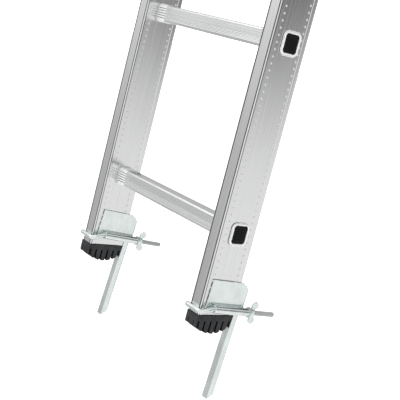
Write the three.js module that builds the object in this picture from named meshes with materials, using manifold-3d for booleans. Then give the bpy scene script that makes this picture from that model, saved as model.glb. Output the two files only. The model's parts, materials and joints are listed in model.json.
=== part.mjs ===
// An aluminium extension ladder with ground spikes, in millimetres. Its base section stands on two
// rubber feet, the fly section runs up the front of it, and a galvanised ground spike is clamped to
// each base stile. +Z runs up the stiles, +X to the right-hand stile and -Y to the climber's side.
// Each section is built with z = 0 at its stiles' lower ends and y = 0 halfway through their depth.
import * as THREE from 'three';
import { mergeVertices } from 'three/addons/utils/BufferGeometryUtils.js';
import Module from 'manifold-3d';

const wasm = await Module();
wasm.setup();

// The ladder as a whole
const LADDER_WIDTH = 341; // over the stiles' outer faces
const RUNG_COUNT = 6; // on each section
const RUNG_PITCH = 280;
const RAISED_PITCHES = 3; // how far up the base the fly section is hooked
const SECTION_GAP = 4; // from the base stiles' front to the fly stiles' back
const BASE_TAIL = 124.3; // from a base stile's lower end to the middle of its first rung
const FLY_TAIL = 75;
const HEAD = 130; // from the middle of the last rung to a stile's upper end
const SEAT_GAP = 0.3; // between two pieces that touch
const CURVE_STEPS = 1; // an outline's arcs get twice this many straight pieces
const CUT_MARGIN = 1; // how far a cutting shape reaches past what it cuts

// A stile is a box section with a lip along each edge of its wide faces
const STILE_DEPTH = 66.5;
const STILE_WIDTH = 24;
const STILE_WALL = 1.8;
const STILE_CORNER = 3;
const LIP_WIDTH = 7.5;
const LIP_RISE = 0.7;

// A rung is a box tube, swaged against the stiles' inner faces and flared over their outer faces
const RUNG_DEPTH = 25.5;
const RUNG_HEIGHT = 27.5;
const RUNG_WALL = 1.5;
const RUNG_CORNER = 4;
const RUNG_SETBACK = 2.5; // the rungs' middle is this far behind the stiles' middle
const COLLAR_LENGTH = 15;
const COLLAR_RISE = 1.2;
const FLARE_THICKNESS = 2.2;
const FLARE_RISE = 5;
const PLUG_LENGTH = 9;
const PLUG_RECESS = 0.8;

// The rubber feet
const FOOT_RIM = 1.25; // how far the sole stands out past the stile at its sides and front
const FOOT_SHANK = 26; // the length held inside the stile
const FOOT_END_HEIGHT = 17.5;
const FOOT_MID_HEIGHT = 29;
const FOOT_BACK_SLOPE = 6.3; // degrees
const GROOVE_COUNT = 6;
const GROOVE_WIDTH = 2.6;
const END_LUG = 4.3; // from the sole's front or back to the middle of the nearest groove
const GROOVE_ROOF = 9.5; // solid rubber left above the grooves
const SOLE_STEPS = 3; // straight pieces under each lug of the sole

// The plastic end caps
const CAP_RIM = 0.8;
const CAP_HEAD = 4;
const CAP_SHANK = 18;

// The guide brackets that hold the sections together
const GUIDE_THICKNESS = 3;
const GUIDE_CLEARANCE = 2.5; // from a flared rung end to the bracket that passes it
const GUIDE_PLAY = 1.5; // from the guided stile's edge to the bracket's lip
const GUIDE_LIP = 14; // how far the lip reaches over the guided stile's edge
const GUIDE_PAD_INSET = 3.25; // from the holding stile's edges to the bracket's pad
const GUIDE_HEIGHT = 35;
const BASE_GUIDE_DROP = 20; // from a base stile's upper end to its guide bracket
const FLY_GUIDE_LIFT = 100; // from a fly stile's lower end to its guide bracket

// The rung hooks that hang the fly section on a base rung
const HOOK_THICKNESS = 6;
const HOOK_STANDOFF = 20; // from the stile's inner face
const HOOK_EYE_RADIUS = 11;
const HOOK_PIVOT_INSET = 14.75; // the pivot's place in front of the fly stiles' back
const HOOK_PIVOT_LIFT = 30; // above the rungs' middle
const HOOK_BODY = 13; // the height of the arm over the rung
const HOOK_JAW_WIDTH = 8.5;
const HOOK_JAW_DROP = 18; // from the arm's underside to the jaw's end
const HOOK_JAW_PLAY = 0.4;
const HOOK_LEAD = 4; // the seat's reach in front of the rung
const HOOK_EYE_END = 315; // degrees round the eye, from its front, to where the seat's edge leaves it
const PIN_RADIUS = 5;
const PIN_PLAY = 0.3;
const PIN_SHOULDER_RADIUS = 8.5;
const PIN_HEAD_RADIUS = 8;
const PIN_HEAD = 3;
const ROUND_STEPS = 14;

// The ground spikes and their clamps. Each one sits on a stile's +X face and leans forward at the foot
const SPIKES = [
  { side: 'left', face: STILE_WIDTH - LADDER_WIDTH / 2, lift: 5.5, lean: 4.8 },
  { side: 'right', face: LADDER_WIDTH / 2, lift: 0, lean: 3.4 },
];
const SPIKE_BAR = 12.5;
const SPIKE_LENGTH = 136; // below the stile's lower end
const SPIKE_BEHIND = 0.4; // from the stile's lower back edge to the bar
const SPIKE_TOP = 46;
const PLATE_THICKNESS = 2;
const PLATE_BEND = 5; // outer radius
const PLATE_REACH = 59.4; // forward of the bar's front face
const PLATE_TOP = 51.5;
const PLATE_BOTTOM = 4;
const PLATE_CHAMFER = 12;
const BOLT_RADIUS = 3.75;
const BOLT_HEIGHT = 9.5; // the bolt's middle above the stile's lower end
const BOLT_BACK_END = 70.5; // behind the bar's front face
const BOLT_STEPS = 20;
const BOLT_SIDES = 8;
const HOOK_HEIGHT = 7.5; // where the bolt's hook crosses the stile's front
const HOOK_BEND = 7;
const HOOK_ENTRY = 10.5; // behind the hook's front, where the rod has left the sleeve's line
const HOOK_CORNER = 2.3; // how much of its square corner the hook's bend leaves out
const HOOK_CLEARANCE = 0.5;
const HOOK_PAST_STILE = 2.5;
const SLEEVE_RADIUS = 6;
const SLEEVE_BORE_PLAY = 0.4;
const SLEEVE_FRONT = 50; // forward of the bar's front face
const SLEEVE_BACK = 18;
const WASHER_RADIUS = 8;
const WASHER_THICKNESS = 1.6;
const NUT_BASE_RADIUS = 7;
const NUT_TOP_RADIUS = 5.6;
const NUT_LENGTH = 9;
const WING_RADIUS = 6.2;
const WING_REACH = 11; // from the bolt's middle to the middle of a wing
const WING_THICKNESS = 3;
const WING_SWEEP = 3; // how far the wings lean away from the washer
const WING_ROOT = 1; // from the nut's washer end to the wings

// Worked out from the sizes above
const INNER_FACE = LADDER_WIDTH / 2 - STILE_WIDTH;
const STILE_MIDDLE = (LADDER_WIDTH - STILE_WIDTH) / 2;
const RUNG_SPAN = (RUNG_COUNT - 1) * RUNG_PITCH;
const FLY_BACK = STILE_DEPTH + SECTION_GAP; // from the fly stiles' middle to the base stiles' middle
const FLY_LIFT = BASE_TAIL - FLY_TAIL + RAISED_PITCHES * RUNG_PITCH;
const HOOK_PIVOT_BACK = STILE_DEPTH / 2 - HOOK_PIVOT_INSET; // behind the fly stiles' middle
const SIDES = [{ side: 'left', sign: -1 }, { side: 'right', sign: 1 }];

const aluminium = new THREE.MeshStandardMaterial({ color: 0xc8cacc, metalness: 0.9, roughness: 0.38 });
const zinc = new THREE.MeshStandardMaterial({ color: 0xc3cbc9, metalness: 0.85, roughness: 0.42 });
const rubber = new THREE.MeshStandardMaterial({ color: 0x1f2021, metalness: 0, roughness: 0.85 });
const plastic = new THREE.MeshStandardMaterial({ color: 0x17181a, metalness: 0, roughness: 0.5 });
const steel = new THREE.MeshStandardMaterial({ color: 0x9a9fa3, metalness: 0.9, roughness: 0.35 });

// Geometry helpers

function solidOf(geometry) {
  const bare = geometry.clone();
  bare.deleteAttribute('normal');
  bare.deleteAttribute('uv');
  const welded = mergeVertices(bare);
  const mesh = new wasm.Mesh({
    numProp: 3,
    vertProperties: new Float32Array(welded.attributes.position.array),
    triVerts: new Uint32Array(welded.index.array),
  });
  return new wasm.Manifold(mesh);
}

function geometryOf(solid) {
  const mesh = solid.getMesh();
  const geometry = new THREE.BufferGeometry();
  geometry.setAttribute('position', new THREE.BufferAttribute(mesh.vertProperties, mesh.numProp));
  geometry.setIndex(new THREE.BufferAttribute(mesh.triVerts, 1));
  geometry.computeVertexNormals();
  return geometry;
}

// A prism of a flat outline. The outline's own x and y become the two axes after the prism's own one,
// in the order X, Y, Z, X, Y.
function prism(axis, outline, from, to, steps = CURVE_STEPS) {
  const depth = to - from;
  const geometry = new THREE.ExtrudeGeometry(outline, { depth, bevelEnabled: false, curveSegments: steps });
  geometry.translate(0, 0, from);
  const units = ['x', 'y', 'z'].map((name) => new THREE.Vector3().setComponent('xyz'.indexOf(name), 1));
  const first = 'xyz'.indexOf(axis);
  const turn = new THREE.Matrix4().makeBasis(units[(first + 1) % 3], units[(first + 2) % 3], units[first]);
  return geometry.applyMatrix4(turn);
}

// A solid of revolution about the named axis, from [radius, place along the axis] pairs
function turned(axis, profile) {
  const points = profile.map(([radius, along]) => new THREE.Vector2(radius, along));
  const geometry = new THREE.LatheGeometry(points, ROUND_STEPS);
  if (axis === 'x') geometry.rotateZ(-Math.PI / 2);
  if (axis === 'z') geometry.rotateX(Math.PI / 2);
  return geometry;
}

function polygon(points) {
  return new THREE.Shape(points.map(([x, y]) => new THREE.Vector2(x, y)));
}

function roundedBox(width, height, corner) {
  const [x, y] = [width / 2 - corner, height / 2 - corner];
  const outline = new THREE.Shape();
  outline.absarc(x, y, corner, 0, Math.PI / 2);
  outline.absarc(-x, y, corner, Math.PI / 2, Math.PI);
  outline.absarc(-x, -y, corner, Math.PI, 1.5 * Math.PI);
  outline.absarc(x, -y, corner, 1.5 * Math.PI, 2 * Math.PI);
  return outline;
}

function part(name, shape, material) {
  const mesh = new THREE.Mesh(shape.isBufferGeometry ? shape : geometryOf(shape), material);
  mesh.name = name;
  return mesh;
}

// Stiles, rungs and what closes their ends

const rungHeights = (tail) => Array.from({ length: RUNG_COUNT }, (_, i) => tail + i * RUNG_PITCH);
const stileLength = (tail) => tail + RUNG_SPAN + HEAD;

function stileOutline() {
  const [x, y, corner] = [STILE_WIDTH / 2, STILE_DEPTH / 2, STILE_CORNER];
  const lip = y - LIP_WIDTH;
  const outline = new THREE.Shape();
  outline.moveTo(x, -lip);
  outline.lineTo(x - LIP_RISE, LIP_RISE - lip);
  outline.lineTo(x - LIP_RISE, lip - LIP_RISE);
  outline.lineTo(x, lip);
  outline.absarc(x - corner, y - corner, corner, 0, Math.PI / 2);
  outline.absarc(corner - x, y - corner, corner, Math.PI / 2, Math.PI);
  outline.lineTo(-x, lip);
  outline.lineTo(LIP_RISE - x, lip - LIP_RISE);
  outline.lineTo(LIP_RISE - x, LIP_RISE - lip);
  outline.lineTo(-x, -lip);
  outline.absarc(corner - x, corner - y, corner, Math.PI, 1.5 * Math.PI);
  outline.absarc(x - corner, corner - y, corner, 1.5 * Math.PI, 2 * Math.PI);
  outline.holes.push(stileBore(0));
  return outline;
}

function stileBore(play) {
  const inset = 2 * (STILE_WALL + play);
  return roundedBox(STILE_WIDTH - inset, STILE_DEPTH - inset, STILE_CORNER - STILE_WALL);
}

function stile(name, tail, sign) {
  let solid = solidOf(prism('z', stileOutline(), 0, stileLength(tail)));
  const [depth, height] = [RUNG_DEPTH + 2 * SEAT_GAP, RUNG_HEIGHT + 2 * SEAT_GAP];
  const hole = prism('x', roundedBox(depth, height, RUNG_CORNER), -STILE_WIDTH, STILE_WIDTH);
  for (const z of rungHeights(tail)) {
    solid = solid.subtract(solidOf(hole.clone().translate(0, RUNG_SETBACK, z)));
  }
  const mesh = part(name, solid, aluminium);
  mesh.position.x = sign * STILE_MIDDLE;
  return mesh;
}

// One ring around the rung, standing out past its faces, from one distance off mid-ladder to another
function rungRing(rise, from, to) {
  const outline = roundedBox(RUNG_DEPTH + 2 * rise, RUNG_HEIGHT + 2 * rise, RUNG_CORNER + rise);
  return solidOf(prism('x', outline, from, to));
}

function rung(name, z) {
  const stileFace = LADDER_WIDTH / 2 + SEAT_GAP;
  const end = stileFace + FLARE_THICKNESS;
  const collar = INNER_FACE - SEAT_GAP;
  let solid = rungRing(0, -end, end);
  for (const sign of [-1, 1]) {
    const bands = [
      [COLLAR_RISE, collar - COLLAR_LENGTH, collar],
      [FLARE_RISE, stileFace, end],
    ];
    for (const [rise, near, far] of bands) {
      solid = solid.add(rungRing(rise, Math.min(sign * near, sign * far), Math.max(sign * near, sign * far)));
    }
  }
  solid = solid.subtract(rungRing(-RUNG_WALL, -LADDER_WIDTH, LADDER_WIDTH));
  const mesh = part(name, solid, aluminium);
  mesh.position.set(0, RUNG_SETBACK, z);
  return mesh;
}

function rungPlug(name, z, sign) {
  const inset = 2 * (RUNG_WALL + SEAT_GAP);
  const outline = roundedBox(RUNG_DEPTH - inset, RUNG_HEIGHT - inset, RUNG_CORNER - RUNG_WALL);
  const mesh = part(name, prism('x', outline, -PLUG_LENGTH / 2, PLUG_LENGTH / 2), plastic);
  const outerEnd = LADDER_WIDTH / 2 + SEAT_GAP + FLARE_THICKNESS - PLUG_RECESS;
  mesh.position.set(sign * (outerEnd - PLUG_LENGTH / 2), RUNG_SETBACK, z);
  return mesh;
}

// The sole's side outline, in y and z: a rocker, grooved from side to side, with a sloping back
function soleOutline() {
  const front = -STILE_DEPTH / 2 - FOOT_RIM;
  const back = STILE_DEPTH / 2;
  const backFoot = back - FOOT_END_HEIGHT * Math.tan(THREE.MathUtils.degToRad(FOOT_BACK_SLOPE));
  const [middle, half] = [(front + backFoot) / 2, (backFoot - front) / 2];
  const sagitta = FOOT_MID_HEIGHT - FOOT_END_HEIGHT;
  const radius = (half ** 2 + sagitta ** 2) / (2 * sagitta);
  const under = (y) => radius - FOOT_MID_HEIGHT - Math.sqrt(radius ** 2 - (y - middle) ** 2);
  const pitch = (2 * half - 2 * END_LUG) / (GROOVE_COUNT - 1);
  const groove = (index) => front + END_LUG + index * pitch;
  const points = [[back, -SEAT_GAP], [front, -SEAT_GAP]];
  for (let lug = 0; lug <= GROOVE_COUNT; lug += 1) {
    const from = lug > 0 ? groove(lug - 1) + GROOVE_WIDTH / 2 : front;
    const to = lug < GROOVE_COUNT ? groove(lug) - GROOVE_WIDTH / 2 : backFoot;
    if (lug > 0) points.push([from, -GROOVE_ROOF]);
    for (let step = 0; step <= SOLE_STEPS; step += 1) {
      const y = THREE.MathUtils.lerp(from, to, step / SOLE_STEPS);
      points.push([y, under(y)]);
    }
    if (lug < GROOVE_COUNT) points.push([to, -GROOVE_ROOF]);
  }
  return polygon(points);
}

function foot(name, sign) {
  const half = STILE_WIDTH / 2 + FOOT_RIM;
  const sole = solidOf(prism('x', soleOutline(), -half, half));
  const shank = solidOf(prism('z', stileBore(SEAT_GAP), -GROOVE_ROOF / 2, FOOT_SHANK));
  const mesh = part(name, sole.add(shank), rubber);
  mesh.position.x = sign * STILE_MIDDLE;
  return mesh;
}

// A cap with its head outside the stile's end and its shank inside, head up or head down
function endCap(name, sign, z, up) {
  const [width, depth] = [STILE_WIDTH + 2 * CAP_RIM, STILE_DEPTH + 2 * CAP_RIM];
  const head = solidOf(prism('z', roundedBox(width, depth, STILE_CORNER), SEAT_GAP, SEAT_GAP + CAP_HEAD));
  const shank = solidOf(prism('z', stileBore(SEAT_GAP), -CAP_SHANK, SEAT_GAP + CAP_HEAD / 2));
  const mesh = part(name, head.add(shank), plastic);
  mesh.rotation.y = up ? 0 : Math.PI;
  mesh.position.set(sign * STILE_MIDDLE, 0, z);
  return mesh;
}

// A guide bracket: a pad on the holding stile, a plate past the rung ends and a lip over the far edge
// of the guided stile. Heights run from the holding stile's lower end, and reach is -1 where the
// guided stile is in front and 1 where it is behind.
function guide(name, sign, reach, bottom) {
  const face = LADDER_WIDTH / 2;
  const plate = face + SEAT_GAP + FLARE_THICKNESS + GUIDE_CLEARANCE;
  const lipFace = reach * (FLY_BACK + STILE_DEPTH / 2 + GUIDE_PLAY);
  const lipBack = lipFace + reach * GUIDE_THICKNESS;
  const pad = reach * (STILE_DEPTH / 2 - GUIDE_PAD_INSET);
  const corners = [
    [face + SEAT_GAP, -pad], [plate + GUIDE_THICKNESS, -pad], [plate + GUIDE_THICKNESS, lipBack],
    [face - GUIDE_LIP, lipBack], [face - GUIDE_LIP, lipFace], [plate, lipFace],
    [plate, pad], [face + SEAT_GAP, pad],
  ].map(([x, y]) => [sign * x, y]);
  return part(name, prism('z', polygon(corners), bottom, bottom + GUIDE_HEIGHT), aluminium);
}

// Rung hooks, in the fly section's frame

function hookOutline() {
  const rungBack = FLY_BACK + RUNG_SETBACK + RUNG_DEPTH / 2 - HOOK_PIVOT_BACK;
  const seat = RUNG_HEIGHT / 2 + SEAT_GAP - HOOK_PIVOT_LIFT;
  const [jaw, back] = [rungBack + HOOK_JAW_PLAY, rungBack + HOOK_JAW_PLAY + HOOK_JAW_WIDTH];
  const seatFront = rungBack - RUNG_DEPTH - HOOK_LEAD;
  const outline = new THREE.Shape();
  outline.absarc(0, 0, HOOK_EYE_RADIUS, Math.PI / 2, THREE.MathUtils.degToRad(HOOK_EYE_END));
  outline.lineTo(seatFront, seat);
  outline.lineTo(jaw, seat);
  outline.lineTo(jaw, seat - HOOK_JAW_DROP);
  outline.lineTo(back, seat - HOOK_JAW_DROP);
  outline.lineTo(back, seat + HOOK_BODY / 2);
  outline.lineTo(back - HOOK_BODY / 2, seat + HOOK_BODY);
  outline.lineTo(seatFront, seat + HOOK_BODY);
  const hole = new THREE.Path();
  hole.absarc(0, 0, PIN_RADIUS + PIN_PLAY, 0, 2 * Math.PI);
  outline.holes.push(hole);
  return outline;
}

function rungHook(name, sign) {
  const from = INNER_FACE - HOOK_STANDOFF - HOOK_THICKNESS;
  const shape = prism('x', hookOutline(), -HOOK_THICKNESS / 2, HOOK_THICKNESS / 2, ROUND_STEPS / 2);
  const mesh = part(name, shape, steel);
  mesh.position.set(sign * (from + HOOK_THICKNESS / 2), HOOK_PIVOT_BACK, FLY_TAIL + HOOK_PIVOT_LIFT);
  return mesh;
}

function hookPin(name, sign) {
  const shoulder = HOOK_STANDOFF - SEAT_GAP;
  const head = HOOK_STANDOFF + HOOK_THICKNESS + SEAT_GAP;
  const shape = turned('x', [
    [0, SEAT_GAP], [PIN_SHOULDER_RADIUS, SEAT_GAP], [PIN_SHOULDER_RADIUS, shoulder], [PIN_RADIUS, shoulder],
    [PIN_RADIUS, head], [PIN_HEAD_RADIUS, head], [PIN_HEAD_RADIUS, head + PIN_HEAD], [0, head + PIN_HEAD],
  ]);
  const mesh = part(name, shape, steel);
  mesh.rotation.z = sign > 0 ? Math.PI : 0;
  mesh.position.set(sign * INNER_FACE, HOOK_PIVOT_BACK, FLY_TAIL + HOOK_PIVOT_LIFT);
  return mesh;
}

// Ground spikes. A clamp's frame has x = 0 on the stile's face, y = 0 on the bar's front face and
// z = 0 level with the stile's lower end, before the clamp leans.
const BOLT_X = SEAT_GAP + PLATE_THICKNESS + SEAT_GAP + SLEEVE_RADIUS;

function spikeBar() {
  const side = SPIKE_BAR;
  const cut = PLATE_BEND - PLATE_THICKNESS; // off the corner that lies in the plate's bend
  const outline = polygon([[-side, 0], [0, 0], [0, side - cut], [-cut, side], [-side, side]]);
  const bar = prism('z', outline, -SPIKE_LENGTH, SPIKE_TOP);
  const wedge = polygon([
    [0, -SPIKE_LENGTH - side], [2 * side, -SPIKE_LENGTH - side], [2 * side, side - SPIKE_LENGTH],
  ]);
  return solidOf(bar).subtract(solidOf(prism('x', wedge, -2 * side, side)));
}

function holderPlate() {
  const outer = SEAT_GAP + PLATE_THICKNESS;
  const back = SPIKE_BAR + outer;
  const bend = [outer - PLATE_BEND, back - PLATE_BEND];
  const outline = new THREE.Shape();
  outline.moveTo(SEAT_GAP, -PLATE_REACH);
  outline.lineTo(outer, -PLATE_REACH);
  outline.absarc(...bend, PLATE_BEND, 0, Math.PI / 2);
  outline.lineTo(-SPIKE_BAR, back);
  outline.lineTo(-SPIKE_BAR, back - PLATE_THICKNESS);
  outline.absarc(...bend, PLATE_BEND - PLATE_THICKNESS, Math.PI / 2, 0, true);
  const plate = solidOf(prism('z', outline, PLATE_BOTTOM, PLATE_TOP, 2 * CURVE_STEPS));
  const corner = polygon([
    [back + CUT_MARGIN, PLATE_TOP - PLATE_CHAMFER - CUT_MARGIN],
    [back + CUT_MARGIN, PLATE_TOP + CUT_MARGIN],
    [back - PLATE_CHAMFER - CUT_MARGIN, PLATE_TOP + CUT_MARGIN],
  ]);
  return plate.subtract(solidOf(prism('x', corner, -2 * SPIKE_BAR, 2 * outer)));
}

function sleeve() {
  const bore = BOLT_RADIUS + SLEEVE_BORE_PLAY;
  return turned('y', [
    [bore, -SLEEVE_FRONT], [SLEEVE_RADIUS, -SLEEVE_FRONT], [SLEEVE_RADIUS, SLEEVE_BACK], [bore, SLEEVE_BACK],
    [bore, -SLEEVE_FRONT],
  ]);
}

// A point beside the stile, as its place behind the bar's front face and its height, in the clamp's frame
function clampPoint(y, z, lean) {
  return new THREE.Vector2(y, z).rotateAround(new THREE.Vector2(), THREE.MathUtils.degToRad(lean));
}

function hookBolt(setback, lean) {
  const front = clampPoint(-STILE_DEPTH - setback - HOOK_CLEARANCE - BOLT_RADIUS, HOOK_HEIGHT, lean);
  const drop = (BOLT_HEIGHT + front.y) / 2;
  const end = -STILE_WIDTH - HOOK_PAST_STILE;
  const path = new THREE.CatmullRomCurve3([
    new THREE.Vector3(BOLT_X, -SLEEVE_FRONT + BOLT_RADIUS, BOLT_HEIGHT),
    new THREE.Vector3(BOLT_X, -SLEEVE_FRONT - SEAT_GAP, BOLT_HEIGHT),
    new THREE.Vector3(BOLT_X, front.x + HOOK_ENTRY, drop),
    new THREE.Vector3(BOLT_X - HOOK_CORNER, front.x + HOOK_CORNER, front.y),
    new THREE.Vector3(BOLT_X - HOOK_BEND, front.x, front.y),
    new THREE.Vector3(-STILE_WIDTH / 2, front.x, front.y),
    new THREE.Vector3(end + HOOK_PAST_STILE, front.x, front.y),
    new THREE.Vector3(end, front.x + HOOK_PAST_STILE / 2, front.y),
  ]);
  const section = new THREE.Shape().absarc(0, 0, BOLT_RADIUS, 0, 2 * Math.PI);
  const steps = { steps: BOLT_STEPS, curveSegments: BOLT_SIDES / 2, bevelEnabled: false, extrudePath: path };
  const hook = solidOf(new THREE.ExtrudeGeometry(section, steps));
  const shank = new THREE.CylinderGeometry(BOLT_RADIUS, BOLT_RADIUS, SLEEVE_FRONT + BOLT_BACK_END, BOLT_SIDES);
  shank.translate(BOLT_X, (BOLT_BACK_END - SLEEVE_FRONT) / 2, BOLT_HEIGHT);
  return hook.add(solidOf(shank));
}

function washer() {
  const bore = BOLT_RADIUS + SEAT_GAP;
  const [from, to] = [SLEEVE_BACK + SEAT_GAP, SLEEVE_BACK + SEAT_GAP + WASHER_THICKNESS];
  return turned('y', [[bore, from], [WASHER_RADIUS, from], [WASHER_RADIUS, to], [bore, to], [bore, from]]);
}

function wingNut() {
  const from = SLEEVE_BACK + WASHER_THICKNESS + 2 * SEAT_GAP;
  const to = from + NUT_LENGTH;
  let solid = solidOf(turned('y', [[0, from], [NUT_BASE_RADIUS, from], [NUT_TOP_RADIUS, to], [0, to]]));
  const middle = (from + to) / 2 + WING_SWEEP / 2;
  for (const sign of [-1, 1]) {
    const wing = new THREE.Shape();
    wing.absarc(middle + WING_SWEEP, sign * WING_REACH, WING_RADIUS, 0, 2 * Math.PI);
    const arm = polygon([
      [from + WING_ROOT, 0], [to, 0], [middle + WING_SWEEP + WING_RADIUS, sign * WING_REACH],
      [middle + WING_SWEEP - WING_RADIUS, sign * WING_REACH],
    ]);
    const half = WING_THICKNESS / 2;
    solid = solid.add(solidOf(prism('x', wing, -half, half, ROUND_STEPS / 2)));
    solid = solid.add(solidOf(prism('x', arm, -half, half)));
  }
  const bore = BOLT_RADIUS + SEAT_GAP;
  return solid.subtract(solidOf(turned('y', [[0, 0], [bore, 0], [bore, 2 * to], [0, 2 * to]])));
}

function spike({ side, face, lift, lean }) {
  const setback = SPIKE_BEHIND + lift * Math.tan(THREE.MathUtils.degToRad(lean));
  const onBolt = new THREE.Group();
  onBolt.position.set(BOLT_X, 0, BOLT_HEIGHT);
  onBolt.add(part(`spike_sleeve_${side}`, sleeve(), zinc));
  onBolt.add(part(`washer_${side}`, washer(), zinc));
  onBolt.add(part(`wing_nut_${side}`, wingNut(), zinc));
  const clamp = new THREE.Group();
  clamp.add(part(`spike_bar_${side}`, spikeBar(), zinc));
  clamp.add(part(`spike_holder_${side}`, holderPlate(), zinc));
  clamp.add(part(`hook_bolt_${side}`, hookBolt(setback, lean), zinc));
  clamp.add(onBolt);
  clamp.position.set(face, STILE_DEPTH / 2 + setback, lift);
  clamp.rotation.x = -THREE.MathUtils.degToRad(lean);
  return clamp;
}

// The two sections

function baseSection() {
  const section = new THREE.Group();
  const top = stileLength(BASE_TAIL);
  for (const { side, sign } of SIDES) {
    section.add(stile(`base_stile_${side}`, BASE_TAIL, sign));
    section.add(foot(`foot_${side}`, sign));
    section.add(endCap(`base_top_cap_${side}`, sign, top, true));
    section.add(guide(`base_guide_${side}`, sign, -1, top - BASE_GUIDE_DROP - GUIDE_HEIGHT));
    rungHeights(BASE_TAIL).forEach((z, i) => section.add(rungPlug(`base_plug_${side}_${i + 1}`, z, sign)));
  }
  rungHeights(BASE_TAIL).forEach((z, i) => section.add(rung(`base_rung_${i + 1}`, z)));
  SPIKES.forEach((one) => section.add(spike(one)));
  return section;
}

function flySection() {
  const section = new THREE.Group();
  for (const { side, sign } of SIDES) {
    section.add(stile(`fly_stile_${side}`, FLY_TAIL, sign));
    section.add(endCap(`fly_bottom_cap_${side}`, sign, 0, false));
    section.add(endCap(`fly_top_cap_${side}`, sign, stileLength(FLY_TAIL), true));
    section.add(guide(`fly_guide_${side}`, sign, 1, FLY_GUIDE_LIFT));
    section.add(rungHook(`rung_hook_${side}`, sign));
    section.add(hookPin(`hook_pin_${side}`, sign));
  }
  rungHeights(FLY_TAIL).forEach((z, i) => section.add(rung(`fly_rung_${i + 1}`, z)));
  section.position.set(0, -FLY_BACK, FLY_LIFT);
  return section;
}

// The whole ladder, with its origin at the bottom centre of its bounding box
const ladder = new THREE.Group();
ladder.add(baseSection(), flySection());
ladder.updateMatrixWorld(true);
const box = new THREE.Box3().setFromObject(ladder, true);
ladder.position.set(-(box.min.x + box.max.x) / 2, -(box.min.y + box.max.y) / 2, -box.min.z);

export default ladder;
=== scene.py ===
# %% [markdown]
# # Extension ladder with ground spikes
# This notebook dresses a packed ladder: two sliding aluminium sections, rubber feet and a zinc-plated
# ground spike clamped to each base stile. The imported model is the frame. It says where everything is
# and how it moves, so each fine piece below takes its place from it.

# %% Load the frame
import json
import math

import bmesh
import bpy
from mathutils import Matrix, Vector
from mathutils.geometry import tessellate_polygon


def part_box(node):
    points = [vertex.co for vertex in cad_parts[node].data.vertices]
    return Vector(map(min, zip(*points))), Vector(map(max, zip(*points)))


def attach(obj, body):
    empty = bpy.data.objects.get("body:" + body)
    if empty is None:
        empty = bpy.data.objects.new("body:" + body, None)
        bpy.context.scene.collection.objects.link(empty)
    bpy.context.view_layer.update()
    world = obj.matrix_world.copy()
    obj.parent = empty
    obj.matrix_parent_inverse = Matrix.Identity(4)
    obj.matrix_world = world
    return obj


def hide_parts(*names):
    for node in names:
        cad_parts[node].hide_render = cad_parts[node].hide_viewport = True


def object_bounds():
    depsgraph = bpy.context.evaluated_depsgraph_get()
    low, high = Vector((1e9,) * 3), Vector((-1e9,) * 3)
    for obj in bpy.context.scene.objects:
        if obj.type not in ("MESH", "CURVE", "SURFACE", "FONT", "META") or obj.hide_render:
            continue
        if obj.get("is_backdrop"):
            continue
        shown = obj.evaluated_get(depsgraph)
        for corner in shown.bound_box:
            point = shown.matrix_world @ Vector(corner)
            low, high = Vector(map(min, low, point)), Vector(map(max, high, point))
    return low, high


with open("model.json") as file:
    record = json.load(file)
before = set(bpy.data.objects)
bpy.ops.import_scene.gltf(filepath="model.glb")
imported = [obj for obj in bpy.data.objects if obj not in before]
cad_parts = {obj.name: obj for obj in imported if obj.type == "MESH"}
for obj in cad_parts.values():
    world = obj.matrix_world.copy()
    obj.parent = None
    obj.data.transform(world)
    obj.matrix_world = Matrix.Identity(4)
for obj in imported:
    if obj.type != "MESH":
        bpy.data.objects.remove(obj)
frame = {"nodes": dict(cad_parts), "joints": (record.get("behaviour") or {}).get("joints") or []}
cad_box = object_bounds()
MM = 0.001

# %% [markdown]
# ## Measures taken from the frame
# Several pieces share the stiles' places and sizes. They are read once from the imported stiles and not
# typed in again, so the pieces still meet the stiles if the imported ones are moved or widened.

# %% Measures taken from the frame
SIDES = ("left", "right")
stile_boxes = {side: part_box(f"base_stile_{side}") for side in SIDES}
OUTER_X = {side: stile_boxes[side][i].x for side, i in (("left", 0), ("right", 1))}
MIDDLE_X = (OUTER_X["left"] + OUTER_X["right"]) / 2
LADDER_WIDTH = OUTER_X["right"] - OUTER_X["left"]
STILE_SIZE = stile_boxes["right"][1] - stile_boxes["right"][0]
BASE_Y = (stile_boxes["right"][0].y + stile_boxes["right"][1].y) / 2
BASE_Z = stile_boxes["right"][0].z
FOOT_OF_BASE = Vector((MIDDLE_X, BASE_Y, BASE_Z))
print("stile size in mm:", [round(v / MM, 1) for v in STILE_SIZE])

# %% [markdown]
# ## Camera
# So long a thing shows its details only when it is looked at from one end. The camera stands to the
# right and in front of the base section, a little above its first rung, with a long lens that keeps the
# stiles nearly parallel, and it is rolled so that the ladder leans in the view.

# %% Camera
VIEW_TARGET = FOOT_OF_BASE + Vector((61.0, 6.0, 144.0)) * MM
VIEW_DISTANCE = 1.400
VIEW_AZIMUTH, VIEW_ELEVATION, VIEW_ROLL = 50.47, 9.92, 14.58
LENS, SENSOR = 82.3, 36.0


def look_matrix(azimuth, elevation, roll):
    """A camera's turn: azimuth 0 looks along +Y, and roll tips its right side up."""
    a, e = math.radians(azimuth), math.radians(elevation)
    back = Vector((math.sin(a) * math.cos(e), -math.cos(a) * math.cos(e), math.sin(e)))
    right = Vector((math.cos(a), math.sin(a), 0.0))
    right.rotate(Matrix.Rotation(math.radians(roll), 3, back))
    up = back.cross(right)
    return Matrix((right, up, back)).transposed(), back


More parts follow.
